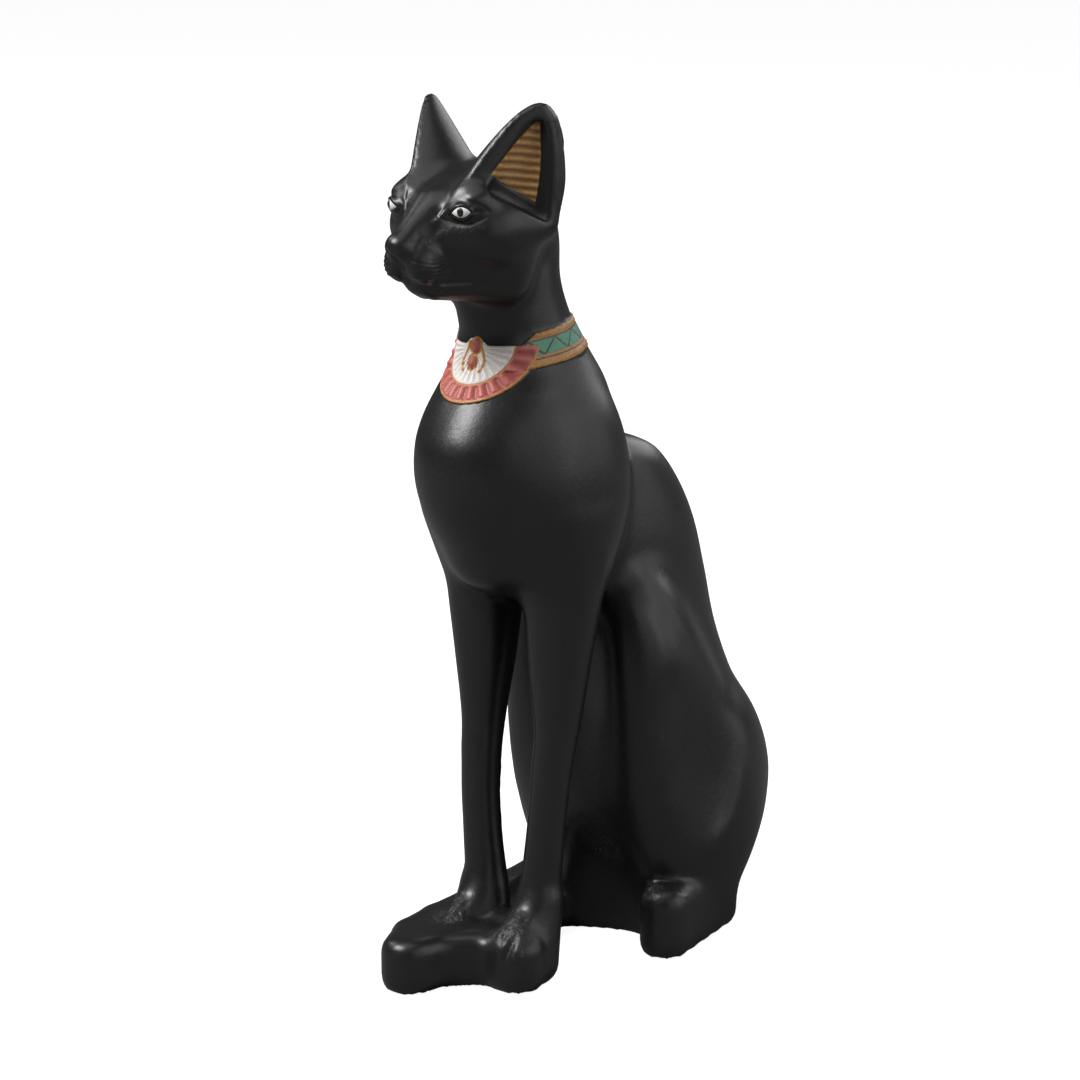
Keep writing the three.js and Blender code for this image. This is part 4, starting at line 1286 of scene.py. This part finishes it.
@dataclass(frozen=True)
class Finish:
    """All paints of the figure."""

    black: Coat = Coat((0.0092, 0.0092, 0.0098), (0.0055, 0.0055, 0.0060), 0.34)
    gold: Coat = Coat((0.52, 0.25, 0.065), (0.15, 0.060, 0.014), 0.42)
    # Ear gold, red and white get painted shade in their grooves, with the strength given last
    ear_gold: Coat = Coat((0.60, 0.33, 0.10), (0.13, 0.052, 0.010), 0.42, 0.8)
    red: Coat = Coat((0.56, 0.16, 0.13), (0.22, 0.035, 0.030), 0.45, 0.6)
    white: Coat = Coat((0.82, 0.77, 0.72), (0.36, 0.35, 0.36), 0.5, 0.35)
    green: Coat = Coat((0.115, 0.34, 0.225), (0.035, 0.085, 0.062), 0.5)
    ground: Coat = Coat((0.060, 0.066, 0.062), (0.02, 0.022, 0.021), 0.5)
    eye_white: Coat = Coat((0.78, 0.76, 0.72), (0.5, 0.48, 0.45), 0.4)
    # Colour of the pale specks over the rough spots of the cast
    pale_specks: tuple[float, float, float] = (0.2, 0.2, 0.19)


def see_apart(tree: bpy.types.NodeTree, seen: Socket, other: Socket, surface: Socket) -> None:
    """Gives the camera one shader and all other rays another.

    Args:
        tree: The node tree.
        seen: What the camera sees.
        other: What lights and reflections see.
        surface: Where the choice goes.
    """
    ray = tree.nodes.new("ShaderNodeLightPath")
    choice = tree.nodes.new("ShaderNodeMixShader")
    tree.links.new(ray.outputs["Is Camera Ray"], choice.inputs[0])
    tree.links.new(other, choice.inputs[1])
    tree.links.new(seen, choice.inputs[2])
    tree.links.new(choice.outputs[0], surface)


class Shader:
    """Adds nodes to one material and joins them up."""

    def __init__(self, name: str) -> None:
        """Makes a new material with an empty node tree.

        Args:
            name: Name of the material.
        """
        self.material = bpy.data.materials.new(name)
        self.material.use_nodes = True
        self.tree = self.material.node_tree
        self.tree.nodes.clear()
        self.output = self.tree.nodes.new("ShaderNodeOutputMaterial")
        self.surface = self.tree.nodes.new("ShaderNodeBsdfPrincipled")
        self.tree.links.new(self.surface.outputs["BSDF"], self.output.inputs["Surface"])
        self.coordinates = self.tree.nodes.new("ShaderNodeTexCoord").outputs["Object"]

    def put(self, socket: Socket, value: object) -> None:
        """Links a socket, or sets it to a constant.

        Args:
            socket: The socket.
            value: Another socket, a number or a colour.
        """
        if isinstance(value, Socket):
            self.tree.links.new(value, socket)
        elif isinstance(value, tuple) and len(value) == 3 and socket.type == "RGBA":
            socket.default_value = (*value, 1.0)
        else:
            socket.default_value = value

    def math(self, operation: str, *values: object) -> Socket:
        """Adds one sum.

        Args:
            operation: Name of the operation.
            *values: What goes into it.

        Returns:
            The result.
        """
        node = self.tree.nodes.new("ShaderNodeMath")
        node.operation = operation
        for socket, value in zip(node.inputs, values):
            self.put(socket, value)
        return node.outputs[0]

    def plus(self, a: object, b: object) -> Socket:
        """Adds two values."""
        return self.math("ADD", a, b)

    def minus(self, a: object, b: object) -> Socket:
        """Takes the second value from the first."""
        return self.math("SUBTRACT", a, b)

    def times(self, a: object, b: object) -> Socket:
        """Multiplies two values."""
        return self.math("MULTIPLY", a, b)

    def times_plus(self, a: object, b: object, c: object) -> Socket:
        """Multiplies the first two values and adds the third."""
        return self.math("MULTIPLY_ADD", a, b, c)

    def attribute(self, key: Paint) -> Socket:
        """Reads one paint coordinate.

        Args:
            key: The coordinate.

        Returns:
            Its value on the skin.
        """
        node = self.tree.nodes.new("ShaderNodeAttribute")
        node.attribute_name = key.value
        return node.outputs["Fac"]

    def noise(self, scale: float, detail: float = 3.0, roughness: float = 0.55) -> Socket:
        """Adds noise in the object's own coordinates.

        Args:
            scale: Patches in a metre.
            detail: Octaves.
            roughness: How much the finer ones count.

        Returns:
            Values around one half.
        """
        node = self.tree.nodes.new("ShaderNodeTexNoise")
        self.put(node.inputs["Vector"], self.coordinates)
        node.inputs["Scale"].default_value = scale
        node.inputs["Detail"].default_value = detail
        node.inputs["Roughness"].default_value = roughness
        return node.outputs["Fac"]

    def step(self, value: object, low: float, high: float) -> Socket:
        """Goes smoothly from 0 at the low value to 1 at the high one.

        Args:
            value: What is read.
            low: Where it starts.
            high: Where it ends, which may lie below the start.

        Returns:
            Height from 0 to 1.
        """
        node = self.tree.nodes.new("ShaderNodeMapRange")
        node.interpolation_type = "SMOOTHSTEP"
        self.put(node.inputs["Value"], value)
        node.inputs["From Min"].default_value = low
        node.inputs["From Max"].default_value = high
        return node.outputs["Result"]

    def between(self, value: object, bounds: tuple[float, float], soft: float) -> Socket:
        """Marks where a value lies between two others.

        Args:
            value: What is read.
            bounds: Lower and upper bound.
            soft: Width of the change at each bound.

        Returns:
            1 inside, 0 outside.
        """
        low, high = bounds
        rise = self.step(value, low - soft, low + soft)
        return self.times(rise, self.step(value, high + soft, high - soft))

    def mix(self, factor: object, a: object, b: object) -> Socket:
        """Mixes two colours.

        Args:
            factor: Share of the second.
            a: First colour.
            b: Second colour.

        Returns:
            The mixed colour.
        """
        node = self.tree.nodes.new("ShaderNodeMix")
        node.data_type = "RGBA"
        for index, value in ((0, factor), (6, a), (7, b)):
            self.put(node.inputs[index], value)
        return node.outputs[2]

    def bump(self, height: object, distance: float, strength: float) -> None:
        """Adds a bump to the surface.

        Args:
            height: Height of the grain.
            distance: Metres for a height of one.
            strength: How much of it shows.
        """
        node = self.tree.nodes.new("ShaderNodeBump")
        self.put(node.inputs["Height"], height)
        node.inputs["Distance"].default_value = distance
        node.inputs["Strength"].default_value = strength
        self.tree.links.new(node.outputs["Normal"], self.surface.inputs["Normal"])


@dataclass
class PaintWork:
    """Dresses the skin: black all over, with the trim painted on by hand."""

    finish: Finish = field(default_factory=Finish)
    collar: Collar = field(default_factory=Collar)
    name: str = "painted_cast"
    wear: float = 0.3
    # Rows across the band of the collar, from -1 to 1
    band_row: tuple[float, float] = (-1.02, 1.02)
    green_row: tuple[float, float] = (-0.32, 0.56)
    dark_rows: Sequence[tuple[float, float]] = ((-0.56, -0.48), (0.56, 0.64))
    red_end: float = 6.27
    grain_height: float = 0.00012

    def coat(self, shader: Shader, paint: Coat, wear: Socket) -> Socket:
        """Gives the colour of one coat with its worn shade."""
        return shader.mix(shader.times(wear, self.wear), paint.colour, paint.shade)

    def masks(self, shader: Shader, wobble: Socket) -> list[tuple[Coat, Socket]]:
        """Finds where each trim paint lies, in the order they are laid on.

        Args:
            shader: The material.
            wobble: Small unevenness of a hand-painted edge.

        Returns:
            Each paint and its mask.
        """
        finish, collar, times, step = self.finish, self.collar, shader.times, shader.step
        white_end = collar.white_radius

        def uneven(key: Paint, amount: float) -> Socket:
            """Reads a paint coordinate with a hand's unevenness."""
            return shader.plus(shader.attribute(key), times(wobble, amount))

        across, reach = uneven(Paint.COLLAR_ACROSS, 0.1), uneven(Paint.FAN_REACH, 0.14)
        lean = times(shader.math("MAXIMUM", shader.minus(across, 0.3), 0.0), collar.band_lean)
        off_fan = step(shader.minus(reach, lean), collar.band_start - 0.05, collar.band_start + 0.1)
        below = step(shader.attribute(Paint.FAN_ABOVE), 0.05, 0.0)
        on_fan = times(below, step(reach, collar.fan_radius + 0.05, collar.fan_radius - 0.05))
        band = times(shader.between(across, self.band_row, 0.02), off_fan)
        green_row = times(shader.between(across, self.green_row, 0.03), off_fan)
        wave = shader.math("PINGPONG", uneven(Paint.COLLAR_ROUND, 0.3), collar.facet_pitch / 2)
        facet = shader.math("ABSOLUTE", shader.minus(wave, shader.times_plus(across, 1.9, 0.65)))
        green = times(green_row, step(facet, 0.1, 0.2))
        gap, line = (times(shader.between(across, row, 0.03), off_fan) for row in self.dark_rows)
        red = times(on_fan, shader.between(reach, (white_end + 0.2, self.red_end), 0.05))
        white = times(on_fan, step(reach, white_end + 0.06, white_end - 0.06))
        bead, ear = uneven(Paint.BEAD, 0.08), uneven(Paint.EAR_PANEL, 0.16)
        curl = times(on_fan, step(shader.attribute(Paint.CURL), 0.2, 0.12))
        return [
            (finish.gold, band), (finish.ground, green_row), (finish.green, green),
            (finish.ground, gap), (finish.ground, line), (finish.gold, on_fan), (finish.red, red),
            (finish.white, white), (finish.gold, curl), (finish.gold, step(bead, 0.3, 0.22)),
            (finish.red, step(bead, 0.06, -0.02)), (finish.ear_gold, step(ear, 0.04, -0.04)),
            (finish.eye_white, step(shader.attribute(Paint.EYE_LENS), 1.0, 0.94)),
            (finish.black, step(shader.attribute(Paint.EYE_IRIS), 1.05, 0.95)),
        ]

    def ridges(self, shader: Shader, paint: Coat) -> Socket | None:
        """Gives how deep the grooves of a carved paint lie, from 0 on a ridge to 1 in a groove, for painted
        shade.

        Args:
            shader: The material.
            paint: The paint.

        Returns:
            Depth, which sets the painted shade in the grooves, or nothing for a paint on smooth ground.
        """
        for carved, key, count in (
            (self.finish.ear_gold, Paint.EAR_RIB, 2 * math.pi),
            (self.finish.red, Paint.FAN_TURN, self.collar.pleats),
            (self.finish.white, Paint.FAN_TURN, self.collar.flutes),
        ):
            if paint is carved:
                phase = shader.times(shader.attribute(key), count)
                return shader.times_plus(shader.math("COSINE", phase), -0.5, 0.5)
        return None

    def dress(self, piece: bpy.types.Object) -> None:
        """Makes the material and gives it to the skin.

        Args:
            piece: The skin.
        """
        shader = Shader(self.name)
        times, times_plus, step = shader.times, shader.times_plus, shader.step
        fine, grain, broad = shader.noise(2600.0, 2.0), shader.noise(900.0), shader.noise(45.0)
        patches = shader.noise(260.0, 4.0, 0.62)
        wobble = shader.minus(shader.noise(650.0, 2.0), 0.5)
        speck = step(shader.noise(2100.0, 3.0, 0.7), 0.44, 0.62)
        rough = shader.attribute(Paint.ROUGH)
        black = self.coat(shader, self.finish.black, step(patches, 0.35, 0.7))
        # Pale specks mixed into the black, more of them where the cast is rough
        pale_specks = step(times_plus(rough, 0.1, shader.noise(1500.0, 4.0, 0.75)), 0.63, 0.73)
        black = shader.mix(times(pale_specks, times_plus(rough, 0.3, 0.03)), black, self.finish.pale_specks)
        colour = black
        roughness = times_plus(shader.minus(broad, 0.5), 0.16, self.finish.black.roughness)
        roughness = times_plus(rough, 0.14, roughness)
        roughness = times_plus(shader.minus(grain, 0.5), 0.12, roughness)
        for paint, mask in self.masks(shader, wobble):
            laid = black if paint is self.finish.black else self.coat(shader, paint, speck)
            # Painted shade: the grooves of the ear ribs, pleats and flutes are darkened towards the coat's
            # darker colour
            groove = self.ridges(shader, paint)
            if groove is not None:
                laid = shader.mix(times(groove, paint.groove), laid, paint.shade)
            colour = shader.mix(mask, colour, laid)
            roughness = times_plus(mask, shader.minus(paint.roughness, roughness), roughness)
        shader.put(shader.surface.inputs["Base Color"], colour)
        shader.put(shader.surface.inputs["Roughness"], roughness)
        shader.surface.inputs["IOR"].default_value = 1.5
        height = times_plus(grain, times_plus(rough, 4.0, 0.5), times(fine, 0.3))
        height = times_plus(patches, times_plus(rough, 3.0, 0.5), height)
        shader.bump(height, self.grain_height, 0.5)
        piece.data.materials.append(shader.material)


@dataclass(frozen=True)
class Panel:
    """A soft light: name, azimuth and elevation in degrees, distance, width and height, and power."""

    name: str
    azimuth: float
    elevation: float
    distance: float
    size: tuple[float, float]
    watts: float


@dataclass
class Studio:
    """Pale floor, soft lights and the camera."""

    azimuth: float = 40.0
    elevation: float = 12.6
    distance: float = 0.78
    target: tuple[float, float, float] = (0.0004, 0.0070, 0.1)
    lens: float = 113.07
    sensor: float = 36.0
    shift: tuple[float, float] = (-0.045, -0.016667)
    floor_radius: float = 6.0
    floor_drop: float = 0.0002
    floor_glow: float = 0.93
    floor_dim: float = 0.2
    world_dim: float = 0.08
    panels: Sequence[Panel] = (
        Panel("key_light", -20.0, 46.0, 1.3, (0.6, 0.5), 20.0),
        Panel("left_light", -74.0, 40.0, 1.5, (0.45, 0.45), 3.0),
        Panel("side_light", 92.0, 14.0, 1.5, (1.6, 1.4), 4.6),
        Panel("right_light", 128.0, 14.0, 1.6, (1.6, 1.7), 8.0),
        Panel("back_light", 184.0, 26.0, 1.8, (1.4, 1.0), 9.0),
        Panel("top_light", 20.0, 80.0, 1.5, (1.2, 1.2), 5.0),
    )

    def aim(self, thing: bpy.types.Object, azimuth: float, elevation: float, distance: float) -> None:
        """Adds a camera or a light to the scene, around the target and turned to it.

        Args:
            thing: The camera or light.
            azimuth: Where it stands around the figure, in degrees.
            elevation: How high it stands, in degrees.
            distance: How far from the target.
        """
        bpy.context.scene.collection.objects.link(thing)
        a, e = math.radians(azimuth), math.radians(elevation)
        way = (math.sin(a) * math.cos(e), -math.cos(a) * math.cos(e), math.sin(e))
        thing.location = tuple(t + distance * w for t, w in zip(self.target, way))
        thing.rotation_euler = (math.radians(90.0 - elevation), 0.0, a)

    def camera(self) -> None:
        """Makes the camera at the photograph's angle."""
        data = bpy.data.cameras.new("photo_camera")
        data.lens = self.lens
        data.sensor_width = self.sensor
        data.sensor_fit = "HORIZONTAL"
        data.shift_x, data.shift_y = self.shift
        data.clip_start = 0.05
        thing = bpy.data.objects.new("photo_camera", data)
        self.aim(thing, self.azimuth, self.elevation, self.distance)
        bpy.context.scene.camera = thing

    def lights(self) -> None:
        """Makes the soft lights."""
        for panel in self.panels:
            data = bpy.data.lights.new(panel.name, "AREA")
            data.shape = "RECTANGLE"
            data.size, data.size_y = panel.size
            data.energy = panel.watts
            thing = bpy.data.objects.new(panel.name, data)
            self.aim(thing, panel.azimuth, panel.elevation, panel.distance)

    def floor(self) -> None:
        """Makes the pale floor, which glows to the camera and is dim in reflections."""
        bpy.ops.object.select_all(action="DESELECT")
        bpy.ops.mesh.primitive_circle_add(
            vertices=96, radius=self.floor_radius, fill_type="NGON", location=(0, 0, -self.floor_drop),
        )
        floor = bpy.context.object
        floor.name = "studio_floor"
        bpy.ops.object.transform_apply(location=True, rotation=True, scale=True)
        shader = Shader("pale_floor")
        tone = shader.mix(shader.noise(3.0, 2.0), (0.34, 0.34, 0.34), (0.36, 0.36, 0.36))
        shader.put(shader.surface.inputs["Base Color"], tone)
        shader.surface.inputs["Roughness"].default_value = 0.9
        shader.surface.inputs["Emission Color"].default_value = (1.0, 1.0, 1.0, 1.0)
        shader.surface.inputs["Emission Strength"].default_value = self.floor_glow
        dim = shader.tree.nodes.new("ShaderNodeBsdfDiffuse")
        dim.inputs["Color"].default_value = (self.floor_dim, self.floor_dim, self.floor_dim, 1.0)
        see_apart(shader.tree, shader.surface.outputs[0], dim.outputs[0], shader.output.inputs["Surface"])
        floor.data.materials.append(shader.material)
        floor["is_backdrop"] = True

    def world(self) -> None:
        """Makes the surroundings, white to the camera and dim in reflections."""
        world = bpy.data.worlds.new("white_surroundings")
        world.use_nodes = True
        tree = world.node_tree
        tree.nodes.clear()
        output = tree.nodes.new("ShaderNodeOutputWorld")
        glows = []
        for strength in (1.0, self.world_dim):
            glow = tree.nodes.new("ShaderNodeBackground")
            glow.inputs["Color"].default_value = (1.0, 1.0, 1.0, 1.0)
            glow.inputs["Strength"].default_value = strength
            glows.append(glow.outputs[0])
        see_apart(tree, glows[0], glows[1], output.inputs["Surface"])
        bpy.context.scene.world = world

    def build(self) -> None:
        """Sets up the whole studio."""
        bpy.context.scene.view_settings.view_transform = "Standard"
        self.floor()
        self.world()
        self.camera()
        self.lights()
        LOG.info("studio: %d lights", len(self.panels))


def main() -> None:
    """Builds the figure and its studio."""
    logging.basicConfig(level=logging.INFO, format="%(name)s: %(message)s")
    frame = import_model()
    cad_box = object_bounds()
    skin = Skin(CatForm())
    piece = skin.build(frame["nodes"][skin.node], cad_box)
    PaintWork().dress(piece)
    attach(piece, "root")
    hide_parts(skin.node)
    Studio().build()


if __name__ == "__main__":
    main()
